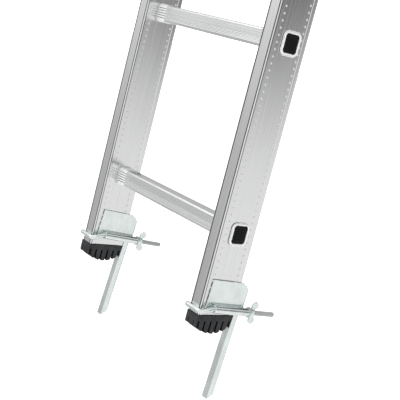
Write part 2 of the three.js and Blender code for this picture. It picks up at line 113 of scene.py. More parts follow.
turn, back = look_matrix(VIEW_AZIMUTH, VIEW_ELEVATION, VIEW_ROLL)
lens = bpy.data.cameras.new("view")
lens.lens, lens.sensor_width = LENS, SENSOR
lens.clip_end = 100.0
camera = bpy.data.objects.new("view", lens)
camera.matrix_world = Matrix.Translation(VIEW_TARGET + back * VIEW_DISTANCE) @ turn.to_4x4()
bpy.context.scene.collection.objects.link(camera)
bpy.context.scene.camera = camera
print("camera at", [round(v, 3) for v in camera.matrix_world.translation])

# %% [markdown]
# ## Skins over rings
# Nearly every piece here is a section carried along a line: a stile and a rung are extrusions, a bolt
# is a rod, a sleeve is a tube. So one helper skins a list of rings with faces. Another puts the mesh in
# the scene, and a third rounds its edges with a modifier, which is easier to change than real bevels.

# %% Skins over rings
MESH_SMOOTH = 35.0


def put(name, verts, faces, material, smooth=MESH_SMOOTH):
    """A mesh object in the frame's metres, shaded smooth except where it turns sharply."""
    mesh = bpy.data.meshes.new(name)
    mesh.from_pydata([tuple(v) for v in verts], [], faces)
    mesh.validate()
    tidy = bmesh.new()
    tidy.from_mesh(mesh)
    bmesh.ops.recalc_face_normals(tidy, faces=tidy.faces)
    tidy.to_mesh(mesh)
    tidy.free()
    mesh.shade_smooth()
    mesh.set_sharp_from_angle(angle=math.radians(smooth))
    piece = bpy.data.objects.new(name, mesh)
    bpy.context.scene.collection.objects.link(piece)
    piece.data.materials.append(material)
    return piece


def skin(rings, loop=False):
    """Vertices and faces over rings of equal length: a tube with flat ends, or a closed loop of rings."""
    count = len(rings[0])
    verts = [v for ring in rings for v in ring]
    spans = len(rings) if loop else len(rings) - 1
    faces = []
    for i in range(spans):
        here, there = i * count, ((i + 1) % len(rings)) * count
        for k in range(count):
            n = (k + 1) % count
            faces.append((here + k, here + n, there + n, there + k))
    if not loop:
        faces.append(tuple(range(count))[::-1])
        faces.append(tuple(range((len(rings) - 1) * count, len(rings) * count)))
    return verts, faces


def merged(parts):
    """One vertex and face list out of several."""
    verts, faces = [], []
    for more_verts, more_faces in parts:
        start = len(verts)
        verts += list(more_verts)
        faces += [tuple(i + start for i in face) for face in more_faces]
    return verts, faces


def bevelled(piece, width, segments=2, angle=30.0):
    """A rounded edge on a piece or on a node of the frame, as a modifier."""
    bevel = piece.modifiers.new("edges", "BEVEL")
    bevel.width, bevel.segments = width, segments
    bevel.limit_method, bevel.angle_limit = "ANGLE", math.radians(angle)
    bevel.harden_normals = False
    return piece


print("skin over two triangles:", len(skin([[(0, 0, 0)] * 3, [(0, 0, 1)] * 3])[1]), "faces")

# %% [markdown]
# ## Outlines and rods
# A section starts as an outline in its own plane: a box with round corners or a circle. A rod needs its
# circle turned along its path. Carrying the last ring's direction on to the next one keeps the rod from
# twisting, which a fixed up direction would do wherever the path turns towards it.

# %% Outlines and rods


def rounded_box(width, height, corner, side_points=1, corner_points=4):
    """A box section with round corners, anticlockwise: each point, its outward normal and, on a flat
    side, how far along that side it lies."""
    ring = []
    corners = ((1, 1), (-1, 1), (-1, -1), (1, -1))
    for quarter, (sx, sy) in enumerate(corners):
        centre = Vector((sx * (width / 2 - corner), sy * (height / 2 - corner)))
        for k in range(corner_points + 1):
            a = math.pi / 2 * (quarter + k / corner_points)
            normal = Vector((math.cos(a), math.sin(a)))
            ring.append((centre + normal * corner, normal, 0.0))
        nx, ny = corners[(quarter + 1) % 4]
        start = ring[-1][0]
        end = Vector((nx * (width / 2 - corner), ny * (height / 2 - corner))) + normal * corner
        for k in range(1, side_points):
            ring.append((start.lerp(end, k / side_points), normal, k / side_points))
    return ring


def circle(radius, sides):
    """Points of a circle, anticlockwise from +x."""
    steps = [2 * math.pi * k / sides for k in range(sides)]
    return [Vector((radius * math.cos(a), radius * math.sin(a))) for a in steps]


def rod_rings(path, radius, sides=16):
    """Rings of a round rod along a path, each carried on from the last without twisting."""
    last = len(path) - 1
    tangents = [(path[min(i + 1, last)] - path[max(i - 1, 0)]).normalized() for i in range(len(path))]
    across = tangents[0].orthogonal().normalized()
    rings = []
    for i, (point, tangent) in enumerate(zip(path, tangents)):
        across = (across - tangent * across.dot(tangent)).normalized()
        up = tangent.cross(across)
        r = radius(i) if callable(radius) else radius
        rings.append([point + across * c.x + up * c.y for c in circle(r, sides)])
    return rings


def smooth_path(points, per_span=6):
    """A Catmull-Rom curve through the points."""
    ends = [points[0] * 2 - points[1]] + list(points) + [points[-1] * 2 - points[-2]]
    path = []
    for a, b, c, d in zip(ends, ends[1:], ends[2:], ends[3:]):
        for k in range(per_span):
            t = k / per_span
            square, cube = 2 * a - 5 * b + 4 * c - d, 3 * b - a - 3 * c + d
            path.append(0.5 * (2 * b + (c - a) * t + square * t**2 + cube * t**3))
    return path + [points[-1]]


print("points of a box outline:", len(rounded_box(2.0, 1.0, 0.2)))

# %% [markdown]
# ## Nodes for a finish
# Every finish below is one main shader with a noise or two behind it. The noise lies in the piece's own
# coordinates, so it stays on the piece when it moves. Small helpers add one node each and pass its
# output on, which keeps a material down to a few readable lines.

# %% Nodes for a finish


def new_material(name, colour, metallic, roughness):
    """A material with its main shader set, and the node tree to build on."""
    material = bpy.data.materials.new(name)
    material.use_nodes = True
    tree = material.node_tree
    shader = tree.nodes["Principled BSDF"]
    shader.inputs["Base Color"].default_value = (*colour, 1.0)
    shader.inputs["Metallic"].default_value = metallic
    shader.inputs["Roughness"].default_value = roughness
    material.diffuse_color = (*colour, 1.0)
    return material, tree, shader


def stretched_noise(tree, scale, detail=6.0, seed=0.0):
    """Noise in the frame's own coordinates, with a scale along each axis."""
    place = tree.nodes.new("ShaderNodeTexCoord")
    mapping = tree.nodes.new("ShaderNodeMapping")
    mapping.inputs["Scale"].default_value = scale
    mapping.inputs["Location"].default_value = (seed, seed, seed)
    noise = tree.nodes.new("ShaderNodeTexNoise")
    noise.inputs["Scale"].default_value = 1.0
    noise.inputs["Detail"].default_value = detail
    tree.links.new(place.outputs["Object"], mapping.inputs["Vector"])
    tree.links.new(mapping.outputs["Vector"], noise.inputs["Vector"])
    return noise.outputs["Fac"]


def ranged(tree, value, low, high, from_low=0.3, from_high=0.7):
    """The value's middle range stretched to run from low to high."""
    node = tree.nodes.new("ShaderNodeMapRange")
    node.inputs["From Min"].default_value = from_low
    node.inputs["From Max"].default_value = from_high
    node.inputs["To Min"].default_value = low
    node.inputs["To Max"].default_value = high
    tree.links.new(value, node.inputs["Value"])
    return node.outputs["Result"]


def tinted(tree, value, dark, light):
    """A colour that runs from dark to light with the value."""
    node = tree.nodes.new("ShaderNodeMix")
    node.data_type = "RGBA"
    node.inputs["A"].default_value = (*dark, 1.0)
    node.inputs["B"].default_value = (*light, 1.0)
    tree.links.new(value, node.inputs["Factor"])
    return node.outputs["Result"]


def bumped(tree, shader, value, distance, strength=1.0):
    """A bump of the given height in metres."""
    node = tree.nodes.new("ShaderNodeBump")
    node.inputs["Distance"].default_value = distance
    node.inputs["Strength"].default_value = strength
    tree.links.new(value, node.inputs["Height"])
    tree.links.new(node.outputs["Normal"], shader.inputs["Normal"])


def shaded(colour, factor):
    return tuple(min(1.0, c * factor) for c in colour)


print("noise, range, tint and bump helpers ready")

# %% [markdown]
# ## Brushed and extruded aluminium
# Extruded aluminium isn't a mirror: the die drags fine lines along the profile, so a highlight is
# stretched across them. A noise squeezed hard along the profile gives the lines. It varies the
# roughness and the tone a little and lifts a faint bump, and the metal does the rest. Painted shade in
# the fine grooves and valleys and a painted sheen on a rung's collar are finishes of their own, one
# darker and one paler.

# %% Aluminium
DIE_LINE, DIE_TINT = 0.03 * MM, (0.93, 1.04)
HANDLING_SCALE, HANDLING_ROUGHNESS = (9.0, 9.0, 5.0), 0.03
PAINTED_SHEEN_METALLIC = 0.35


def drawn_aluminium(name, colour, grain, roughness, lines=DIE_LINE, metallic=1.0):
    """Aluminium with die lines along one axis, where grain is the noise's scale along each axis."""
    material, tree, shader = new_material(name, colour, metallic, sum(roughness) / 2)
    line = stretched_noise(tree, grain)
    cloud = stretched_noise(tree, HANDLING_SCALE, detail=2.0, seed=3.0)
    dark, light = (shaded(colour, factor) for factor in DIE_TINT)
    tree.links.new(tinted(tree, ranged(tree, line, 0.0, 1.0), dark, light), shader.inputs["Base Color"])
    both = tree.nodes.new("ShaderNodeMath")
    both.operation = "ADD"
    tree.links.new(ranged(tree, line, *roughness), both.inputs[0])
    tree.links.new(ranged(tree, cloud, -HANDLING_ROUGHNESS, HANDLING_ROUGHNESS), both.inputs[1])
    tree.links.new(both.outputs[0], shader.inputs["Roughness"])
    bumped(tree, shader, line, lines)
    return material


ALONG_Z, ALONG_X, EVERY_WAY = (900.0, 900.0, 6.0), (6.0, 900.0, 900.0), (500.0, 500.0, 500.0)
BRACKET_GRAIN = (120.0, 120.0, 900.0)
stile_metal = drawn_aluminium("stile_aluminium", (0.81, 0.812, 0.815), ALONG_Z, (0.15, 0.23), DIE_LINE / 3)
rung_metal = drawn_aluminium("rung_aluminium", (0.82, 0.825, 0.83), ALONG_X, (0.22, 0.34))
guide_metal = drawn_aluminium("guide_aluminium", (0.76, 0.765, 0.77), BRACKET_GRAIN, (0.32, 0.45))
# Painted shade: a dark aluminium that stands in for the shade inside the stiles' fine grooves, the collars'
# valleys and the flare's groove.
painted_shade_metal = drawn_aluminium("painted_shade_aluminium", (0.13, 0.13, 0.132), ALONG_Z, (0.30, 0.42))
# Painted sheen: a paler, less metallic aluminium that stands in for bright light on the crushed collars and
# flares.
painted_sheen_metal = drawn_aluminium("painted_sheen_aluminium", (0.93, 0.932, 0.935), EVERY_WAY, (0.28, 0.38),
                               metallic=PAINTED_SHEEN_METALLIC)
for metal in (stile_metal, rung_metal, guide_metal, painted_shade_metal, painted_sheen_metal):
    print(metal.name)

# %% [markdown]
# ## Zinc plating
# The spikes are mild steel with a bright zinc coat: smooth, a little blue-green, with faint cloudy
# patches where the bath dried. A soft noise shifts its tone and roughness, and a fine one dimples it by
# a few thousandths of a millimetre. Welds are the same plating, darker and rougher. The thread gets a
# darker, rougher copy of it too, which paints in the shade on its flanks.

# %% Zinc plating
ZINC_METALLIC, ZINC_TINT, SPECK_HEIGHT = 0.9, (0.90, 1.06), 0.006 * MM


def zinc_plating(name, colour, roughness):
    """Plated steel with cloudy patches."""
    material, tree, shader = new_material(name, colour, ZINC_METALLIC, sum(roughness) / 2)
    cloud = stretched_noise(tree, (55.0, 55.0, 35.0), detail=4.0)
    speck = stretched_noise(tree, (600.0, 600.0, 600.0), detail=3.0, seed=5.0)
    dark, light = (shaded(colour, factor) for factor in ZINC_TINT)
    tree.links.new(tinted(tree, ranged(tree, cloud, 0.0, 1.0), dark, light), shader.inputs["Base Color"])
    tree.links.new(ranged(tree, cloud, *roughness), shader.inputs["Roughness"])
    bumped(tree, shader, speck, SPECK_HEIGHT)
    return material


zinc = zinc_plating("zinc_plate", (0.79, 0.85, 0.835), (0.13, 0.22))
weld_zinc = zinc_plating("weld_zinc", (0.50, 0.56, 0.55), (0.14, 0.26))
hook_steel = zinc_plating("hook_steel", (0.60, 0.62, 0.625), (0.30, 0.42))
# Painted shade: a darker, rougher copy of the plating that stands in for the shade on the thread's flanks.
painted_shade_thread_zinc = zinc_plating("painted_shade_thread_zinc", (0.47, 0.48, 0.48), (0.30, 0.42))
print("plating:", zinc.name, weld_zinc.name, hook_steel.name, painted_shade_thread_zinc.name)

# %% [markdown]
# ## Rubber and plastic
# Both are moulded black: the rubber is matt with a coarse grain, the plastic half matt with a fine one.
# Black things look grey wherever they shine, so the shine is turned down. The grooves of a sole get
# a blacker rubber, painted shade for the shadow that lies in them.

# %% Rubber and plastic
WEAR_TINT = (0.75, 1.35)


def moulded(name, colour, roughness, grain, height, shine):
    """A moulded skin: grain is its noise's scale, height the grain's depth, shine the specular level."""
    material, tree, shader = new_material(name, colour, 0.0, sum(roughness) / 2)
    shader.inputs["Specular IOR Level"].default_value = shine
    skin_grain = stretched_noise(tree, (grain, grain, grain), detail=5.0)
    wear = stretched_noise(tree, (60.0, 60.0, 60.0), detail=3.0, seed=2.0)
    dark, light = (shaded(colour, factor) for factor in WEAR_TINT)
    tree.links.new(tinted(tree, ranged(tree, wear, 0.0, 1.0), dark, light), shader.inputs["Base Color"])
    tree.links.new(ranged(tree, wear, *roughness), shader.inputs["Roughness"])
    bumped(tree, shader, skin_grain, height)
    return material


RUBBER_GRAIN, RUBBER_GRAIN_HEIGHT = 900.0, 0.08 * MM
PLASTIC_GRAIN, PLASTIC_GRAIN_HEIGHT = 1400.0, 0.04 * MM
rubber = moulded("black_rubber", (0.036, 0.037, 0.039), (0.55, 0.72), RUBBER_GRAIN, RUBBER_GRAIN_HEIGHT, 0.12)
# Painted shade: a blacker rubber that stands in for the shade in the sole's grooves.
painted_shade_rubber = moulded("painted_shade_rubber", (0.008, 0.008, 0.009), (0.60, 0.75), RUBBER_GRAIN,
                        RUBBER_GRAIN_HEIGHT, 0.05)
plastic = moulded("black_plastic", (0.007, 0.0072, 0.008), (0.38, 0.52), PLASTIC_GRAIN,
                  PLASTIC_GRAIN_HEIGHT, 0.10)
print("black:", rubber.name, painted_shade_rubber.name, plastic.name)

# %% [markdown]
# ## The stile's section
# A stile is a hollow box with rounded corners. Each wide face has a raised lip along both edges and a
# web set back between them. Beside each front corner run two fine V grooves, which read as thin dark
# and light lines all the way up. They are cut into the outline itself, so the extrusion carries them.

# %% The stile's section
STILE_WALL, STILE_CORNER = 1.8 * MM, 1.2 * MM
LIP_WIDTH, LIP_RISE = 7.5 * MM, 0.7 * MM
# Inset from the corner, width and depth of the groove on the wide face, then of the one on the front.
SIDE_LINE = (1.7 * MM, 1.2 * MM, 0.5 * MM)
FRONT_LINE = (1.0 * MM, 2.6 * MM, 0.6 * MM)
GROOVE_FROM = 0.05 * MM
CORNER_STEPS = 7


def groove_points(line):
    """Distance from the corner and depth of a V groove's three points."""
    inset, width, depth = line
    return (inset, 0.0), (inset + width / 2, depth), (inset + width, 0.0)


def in_groove(x_depth, y_depth):
    """Whether a point, given by its depth under both faces, lies in a groove."""
    for across, down, line in ((y_depth, x_depth, SIDE_LINE), (x_depth, y_depth, FRONT_LINE)):
        if line[0] < across < line[0] + line[1] and GROOVE_FROM < down < line[2]:
            return True
    return False


def stile_quarter(half_x, half_y, grooved):
    """A quarter of the outline, from the middle of the +X web round to the middle of the +Y face."""
    lip = half_y - LIP_WIDTH
    web = half_x - LIP_RISE
    quarter = [(web, 0.0), (web, lip - LIP_RISE), (half_x, lip)]
    if grooved:
        quarter += [(half_x - down, half_y - along) for along, down in groove_points(SIDE_LINE)][::-1]
    for k in range(CORNER_STEPS + 1):
        a = math.pi / 2 * k / CORNER_STEPS
        quarter.append((half_x - STILE_CORNER + STILE_CORNER * math.cos(a),
                        half_y - STILE_CORNER + STILE_CORNER * math.sin(a)))
    if grooved:
        quarter += [(half_x - along, half_y - down) for along, down in groove_points(FRONT_LINE)]
    return [Vector(p) for p in quarter]


def stile_section(half_x, half_y):
    """The whole outline, anticlockwise, with fine grooves beside its front corners."""
    back = stile_quarter(half_x, half_y, False)
    front = stile_quarter(half_x, half_y, True)
    half = back + [Vector((-p.x, p.y)) for p in reversed(back)]
    near = [Vector((p.x, -p.y)) for p in reversed(front[1:])]
    return half + [Vector((-p.x, -p.y)) for p in front[1:]] + near


print("points round a stile:", len(stile_section(STILE_SIZE.x / 2, STILE_SIZE.y / 2)))

# %% [markdown]
# ## Nubs and cut ends
# Two rows of small nubs are pressed along each web. A nub is a low dome of five rings, cheap enough to
# repeat a few hundred times. At both ends of the stile the wall shows, so the gap between the outline
# and the bore is filled with triangles, which no simple ring of faces could do.

# %% Nubs and cut ends
NUB_ROW, NUB_PITCH = 22.0 * MM, 10.0 * MM
NUB_RADIUS, NUB_RISE = 1.9 * MM, 1.1 * MM
NUB_SIDES, NUB_END_GAP = 10, 12.0 * MM
# Share of the nub's radius and of its rise at each ring.
NUB_DOME = ((1.0, -0.1), (0.9, 0.3), (0.65, 0.75), (0.35, 0.95), (0.1, 1.0))


def nub(centre, out):
    """A low dome on a face that looks along +X or -X."""
    rings = []
    for spread, rise in NUB_DOME:
        ring = circle(spread * NUB_RADIUS, NUB_SIDES)
        rings.append([centre + Vector((out * rise * NUB_RISE, c.x, c.y)) for c in ring])
    return skin(rings)


def web_nubs(middle, size, foot):
    """Every nub on both webs of a stile that starts at the height foot."""
    count = int((size.z - 2 * NUB_END_GAP) / NUB_PITCH)
    web = size.x / 2 - LIP_RISE
    domes = []
    for out in (-1, 1):
        for row in (-1, 1):
            for k in range(count + 1):
                z = foot + NUB_END_GAP + k * NUB_PITCH
                domes.append(nub(Vector((middle.x + out * web, middle.y + row * NUB_ROW, z)), out))
    return domes


def ring_ends(outer_verts, inner_verts, outer_count, inner_count):
    """Triangles that close both ends between an outline and its bore."""
    faces = []
    shift = len(outer_verts)
    for outer_start, inner_start in ((0, 0), (outer_count, inner_count)):
        outline = outer_verts[outer_start : outer_start + outer_count]
        bore = inner_verts[inner_start : inner_start + inner_count]
        for face in tessellate_polygon([outline, bore]):
            faces.append(tuple(outer_start + i if i < outer_count else shift + inner_start + i - outer_count
                               for i in face))
    return faces


print("faces of one nub:", len(nub(Vector(), 1)[1]))

# %% [markdown]
# ## Stiles
# The section is skinned from end to end together with its bore. Shallow grooves vanish when the shading
# is smoothed over them, so a stile is smoothed only over very small angles. The faces inside a groove
# get the darker finish, a painted shade, found by their depth under both faces.

# %% Stiles
STILE_SMOOTH = 20.0


def build_stile(node, body):
    low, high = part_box(node)
    middle, size = (low + high) / 2, high - low
    outer = stile_section(size.x / 2, size.y / 2)
    inner_size = size.xy - Vector((STILE_WALL, STILE_WALL)) * 2
    bore = [point for point, _, _ in rounded_box(*inner_size, STILE_CORNER - STILE_WALL)]
    shell = [[Vector((middle.x + p.x, middle.y + p.y, z)) for p in outer] for z in (low.z, high.z)]
    outer_verts, outer_faces = skin(shell)
    inner = [[Vector((middle.x + p.x, middle.y + p.y, z)) for p in bore] for z in (low.z, high.z)]
    inner_verts, inner_faces = skin(inner)
    rims = ring_ends(outer_verts, inner_verts, len(outer), len(bore))
    verts, faces = merged([(outer_verts, outer_faces[:-2]), (inner_verts, inner_faces[:-2])])
    faces += rims
    domes = web_nubs(middle, size, low.z)
    piece = put(f"{node}_profile", *merged([(verts, faces)] + domes), stile_metal, smooth=STILE_SMOOTH)
    # Painted shade: the faces inside the grooves get the dark aluminium in place of the shade there.
    piece.data.materials.append(painted_shade_metal)
    for face in piece.data.polygons:
        if in_groove(size.x / 2 - abs(face.center.x - middle.x), face.center.y - low.y):
            face.material_index = 1
    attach(piece, body)
    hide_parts(node)
    return piece


for section in ("base", "fly"):
    for side in SIDES:
        piece = build_stile(f"{section}_stile_{side}", section)
        print(piece.name, len(piece.data.polygons), "faces")

# %% [markdown]
# ## Rungs
# A rung is a box tube with fine ribs along it for grip. At each stile it is squeezed into a thick
# collar whose ribs are crushed together, and outside the stile its end is flared over. All of that is
# one skin: a ribbed ring is carried along the rung, and a list says how far it swells at each place.
# The squeezed metal gets a paler finish as painted sheen, with painted shade in its valleys, and the
# flare has one line of painted shade.

# %% A ring of the rung
RUNG_DEPTH, RUNG_HEIGHT, RUNG_WALL, RUNG_CORNER = 25.5 * MM, 27.5 * MM, 1.5 * MM, 4.0 * MM
FINE_RIBS, FINE_DEPTH, POINTS_PER_RIB = 10, 0.30 * MM, 6
UPPER_RIB_SHARE = 0.35
CRUSH_RIBS, CRUSH_DEPTH = 5, 0.75 * MM
# The crush beyond which the skin gets the painted sheen, and half of a painted-shade valley's share of a rib.
SHEEN_FROM_CRUSH, SHADED_VALLEY = 0.3, 0.13
FLARE_CORNER = 5.5 * MM
STILE_WIDTH = STILE_SIZE.x
SEAT = 0.3 * MM
# Distance from the stile's inner face, swell and strength of the crushed ribs.
SWAGE = ((-30.0, 0.0, 0.0), (-26.0, 0.0, 0.15), (-22.0, 0.05, 0.35), (-18.0, 0.15, 0.6), (-15.0, 0.45, 1.0),
         (-11.0, 0.85, 1.0), (-7.0, 1.2, 1.0), (-4.0, 1.4, 0.8), (-3.0, 1.35, 0.4), (-2.4, 0.9, 0.0),
         (-2.0, 0.0, 0.0), (-1.2, -0.5, 0.0), (-0.4, -0.5, 0.0))
# Distance from the stile's outer face and swell: an outer ridge, a groove, the main bead and the mouth.
FLARE = ((0.3, 0.0), (0.3, 4.2), (0.7, 4.5), (1.3, 4.3), (1.5, 3.8), (1.1, 3.4), (1.1, 3.1), (1.8, 2.9),
         (2.35, 2.4), (2.5, 1.8), (2.45, 1.2), (2.2, 0.7), (1.8, 0.4), (0.5, 0.2), (0.2, -1.5))
# The place in that list where the groove's floor begins, whose ring gets painted shade.
FLARE_LINE = 5


def rung_ring(x, swell, crush, outline):
    """One ring of the tube. Fine ribs fade where the end is crushed, and are shallow on the upper half."""
    ring = []
    for point, normal, share in outline:
        low_half = 1.0 if normal.x == 0.0 or point.y < 0 else UPPER_RIB_SHARE
        fine = FINE_DEPTH * low_half * (1 - crush) * (0.5 - 0.5 * math.cos(2 * math.pi * FINE_RIBS * share))
        crushed = CRUSH_DEPTH * crush * (0.5 - 0.5 * math.cos(2 * math.pi * CRUSH_RIBS * share))
        p = point + normal * (swell - (fine + crushed if share else 0.0))
        ring.append((x, p.x, p.y))
    return ring


def sheen_or_shade_finish(share, crush, outside, shade_line):
    """The finish of a face: 0 for the plain tube, 1 for the painted sheen of crushed metal, 2 for a line of
    painted shade in it.
    """
    if crush <= SHEEN_FROM_CRUSH:
        return 0
    shaded_valley = share > 0.0 and abs(share * CRUSH_RIBS % 1.0 - 0.5) < SHADED_VALLEY
    return 2 if (shade_line if outside else shaded_valley) else 1


print("places along the swage and the flare:", len(SWAGE), len(FLARE))

# %% [markdown]
# ## Rungs
# The right half's rings are made first and mirrored for the left half. The bore is two more rings, and
# the skin closes on itself through them. Faces come out in the order of the rings, so each one's place
# in that order tells which finish it gets.

# %% Rungs


def build_rung(node, body):
    low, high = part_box(node)
    middle = (low + high) / 2
    half = LADDER_WIDTH / 2
    inner = half - STILE_WIDTH
    side_points = FINE_RIBS * POINTS_PER_RIB
    outline = rounded_box(RUNG_DEPTH, RUNG_HEIGHT, RUNG_CORNER, side_points, corner_points=5)
    stations = [(inner + d * MM, s * MM, crush) for d, s, crush in SWAGE]
    flared = rounded_box(RUNG_DEPTH, RUNG_HEIGHT, FLARE_CORNER, side_points, corner_points=5)
    right = [rung_ring(x, s, crush, outline) for x, s, crush in stations]
    right += [rung_ring(half + d * MM, s * MM, 1.0, flared) for d, s in FLARE]
    left = [[(-x, y, z) for x, y, z in ring] for ring in reversed(right)]
    bore = [rung_ring(x, -RUNG_WALL, 0.0, outline) for x in (inner, -inner)]
    crush_of = [crush for _, _, crush in stations] + [1.0] * len(FLARE)
    crush_of = crush_of[::-1] + crush_of + [0.0, 0.0]
    line_at = len(stations) + FLARE_LINE
    rings = [[middle + Vector(p) for p in ring] for ring in left + right + bore]
    piece = put(f"{node}_tube", *skin(rings, loop=True), rung_metal)
    piece.data.materials.append(painted_sheen_metal)
    piece.data.materials.append(painted_shade_metal)
    # Painted sheen on the crushed collars and flares, painted shade in their valleys and in the flare's
    # groove.
    for index, face in enumerate(piece.data.polygons):
        ring, k = divmod(index, len(outline))
        crush = min(crush_of[ring], crush_of[(ring + 1) % len(crush_of)])
        outside = abs(face.center.x - middle.x) > half
        shade_line = ring in (len(left) + line_at, len(left) - 2 - line_at)
        face.material_index = sheen_or_shade_finish(outline[k][2], crush, outside, shade_line)
    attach(piece, body)
    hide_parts(node)
    return piece


RUNG_COUNT = 6
for section in ("base", "fly"):
    for i in range(1, RUNG_COUNT + 1):
        piece = build_rung(f"{section}_rung_{i}", section)
print("rungs:", 2 * RUNG_COUNT, "of", len(piece.data.polygons), "faces each")

# %% [markdown]
# ## Rung-end plugs
# A moulded plug closes each rung. Its neck fits the tube, and its head fills the mouth of the flare,
# slightly crowned, with a few raised bars across it. The base section's plugs take the place of packed
# ones. The fly section has none packed, so its plugs are new pieces.

# %% Rung-end plugs
PLUG_INSET, PLUG_LENGTH, PLUG_RECESS, FLARE_THICKNESS = 0.1 * MM, 9.0 * MM, 0.8 * MM, 2.2 * MM
PLUG_HEAD, PLUG_NECK = 1.1 * MM, 1.8 * MM
# Depth behind the face and inset of each ring, from the neck's far end to the crown.
PLUG_RINGS = ((PLUG_LENGTH, PLUG_NECK), (PLUG_HEAD, PLUG_NECK), (PLUG_HEAD, 0.0), (0.4 * MM, 0.15 * MM),
              (0.1 * MM, 0.5 * MM), (0.0, 1.2 * MM))
PLUG_BARS, BAR_PITCH, BAR_WIDTH, BAR_RISE = 5, 3.8 * MM, 0.9 * MM, 0.7 * MM
BAR_ROOT, BAR_CREST, BAR_SPAN = -0.3 * MM, 0.6, 0.64
PLUG_CORNER = 4.8 * MM


def build_plug(name, rung, side, body):
    low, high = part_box(rung)
    middle = (low + high) / 2
    out = 1 if side == "right" else -1
    face_x = OUTER_X[side] + out * (SEAT + FLARE_THICKNESS - PLUG_RECESS)
    width, height = RUNG_DEPTH - 2 * PLUG_INSET, RUNG_HEIGHT - 2 * PLUG_INSET
    rings = []
    for depth, inset in PLUG_RINGS:
        ring = rounded_box(width, height, PLUG_CORNER, corner_points=6)
        x = face_x - out * depth
        rings.append([Vector((x, middle.y + p.x - n.x * inset, middle.z + p.y - n.y * inset))
                      for p, n, _ in ring])
    parts = [skin(rings)]
    crest = BAR_WIDTH * BAR_CREST
    profile = [(-BAR_WIDTH, BAR_ROOT), (BAR_WIDTH, BAR_ROOT), (crest, BAR_RISE), (-crest, BAR_RISE)]
    for bar in range(PLUG_BARS):
        z = middle.z + (bar - (PLUG_BARS - 1) / 2) * BAR_PITCH
        ends = [[Vector((face_x + out * rise, middle.y + reach, z + dz)) for dz, rise in profile]
                for reach in (-width * BAR_SPAN / 2, width * BAR_SPAN / 2)]
        parts.append(skin(ends))
    piece = put(name, *merged(parts), plastic)
    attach(piece, body)
    return piece


for side in SIDES:
    for i in range(1, RUNG_COUNT + 1):
        piece = build_plug(f"base_plug_{side}_{i}_face", f"base_rung_{i}", side, "base")
        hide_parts(f"base_plug_{side}_{i}")
        build_plug(f"fly_plug_{side}_{i}", f"fly_rung_{i}", side, "fly")
print("plugs:", 4 * RUNG_COUNT)

# %% [markdown]
# ## Rubber feet
# A foot is a block of rubber pushed into the stile. Its sole is curved like a rocker, cut from side to
# side by deep grooves and along its length by two shallower ones. The underside starts as a flat grid,
# and each lug is drawn down from it to the curve, narrowing a little as a moulded lug does, so the sole
# is one closed skin. Loose lugs set against a block would leave hidden faces inside the rubber.

# %% The sole's grid
FOOT_RIM, FOOT_SHANK = 1.25 * MM, 26.0 * MM
FOOT_END_HEIGHT, FOOT_MID_HEIGHT, FOOT_BACK_SLOPE = 17.5 * MM, 29.0 * MM, 6.3
GROOVE_COUNT, GROOVE_WIDTH, GROOVE_ROOF, END_LUG = 6, 3.0 * MM, 9.5 * MM, 4.3 * MM
LONG_GROOVES, LONG_GROOVE_WIDTH, LONG_GROOVE_DEPTH, SIDE_LUG = 2, 2.0 * MM, 7.0 * MM, 7.0 * MM
LUG_STEPS, LUG_DRAFT = 3, 1.0 * MM
SHANK_CORNER, SHANK_OVERLAP, FOOT_EDGE = 1.2 * MM, 2.0 * MM, 0.35 * MM


def sole_curve(front, back_foot):
    """The rocker's height under any place along the foot, below the stile's end."""
    middle, half = (front + back_foot) / 2, (back_foot - front) / 2
    sagitta = FOOT_MID_HEIGHT - FOOT_END_HEIGHT
    radius = (half**2 + sagitta**2) / (2 * sagitta)
    return lambda y: radius - FOOT_MID_HEIGHT - math.sqrt(radius**2 - (y - middle) ** 2)


def sole_marks(start, end, cuts, width, end_lug, steps):
    """Grid lines from start to end: each lug's own lines, with its index, split by the cuts."""
    pitch = (end - start - 2 * end_lug) / (cuts - 1)
    cut = [start + end_lug + i * pitch for i in range(cuts)]
    marks = []
    for lug in range(cuts + 1):
        a = cut[lug - 1] + width / 2 if lug > 0 else start
        b = cut[lug] - width / 2 if lug < cuts else end
        marks += [(a + (b - a) * k / steps, lug) for k in range(steps + 1)]
    return marks


def narrowed(faces, lug):
    """Draws a lug's lower end in on the sides that face a groove."""
    ends = {v for face in faces for v in face.verts}
    near, far = min(v.co.y for v in ends), max(v.co.y for v in ends)
    for v in ends:
        share = (v.co.y - near) / (far - near)
        v.co.y += LUG_DRAFT * ((1 - share) * (lug > 0) - share * (lug < GROOVE_COUNT))


print("marks across two cuts:", len(sole_marks(0.0, 1.0, 2, 0.1, 0.2, 1)))

# %% [markdown]
# ## The sole
# The grid is drawn down twice: each lug to the floor of the lengthwise grooves, then each of its three
# columns to the rocker's curve. After that the grid's rim is drawn up to the stile's end and closed.
# Extruding with mesh operators keeps one skin, where joined boxes would need a boolean.

# %% The sole


def foot_reach(half_y):
    """The foot's front, its back at the stile's end, and its back at the sole, from the middle."""
    front, back = -half_y - FOOT_RIM, half_y
    return front, back, back - FOOT_END_HEIGHT * math.tan(math.radians(FOOT_BACK_SLOPE))


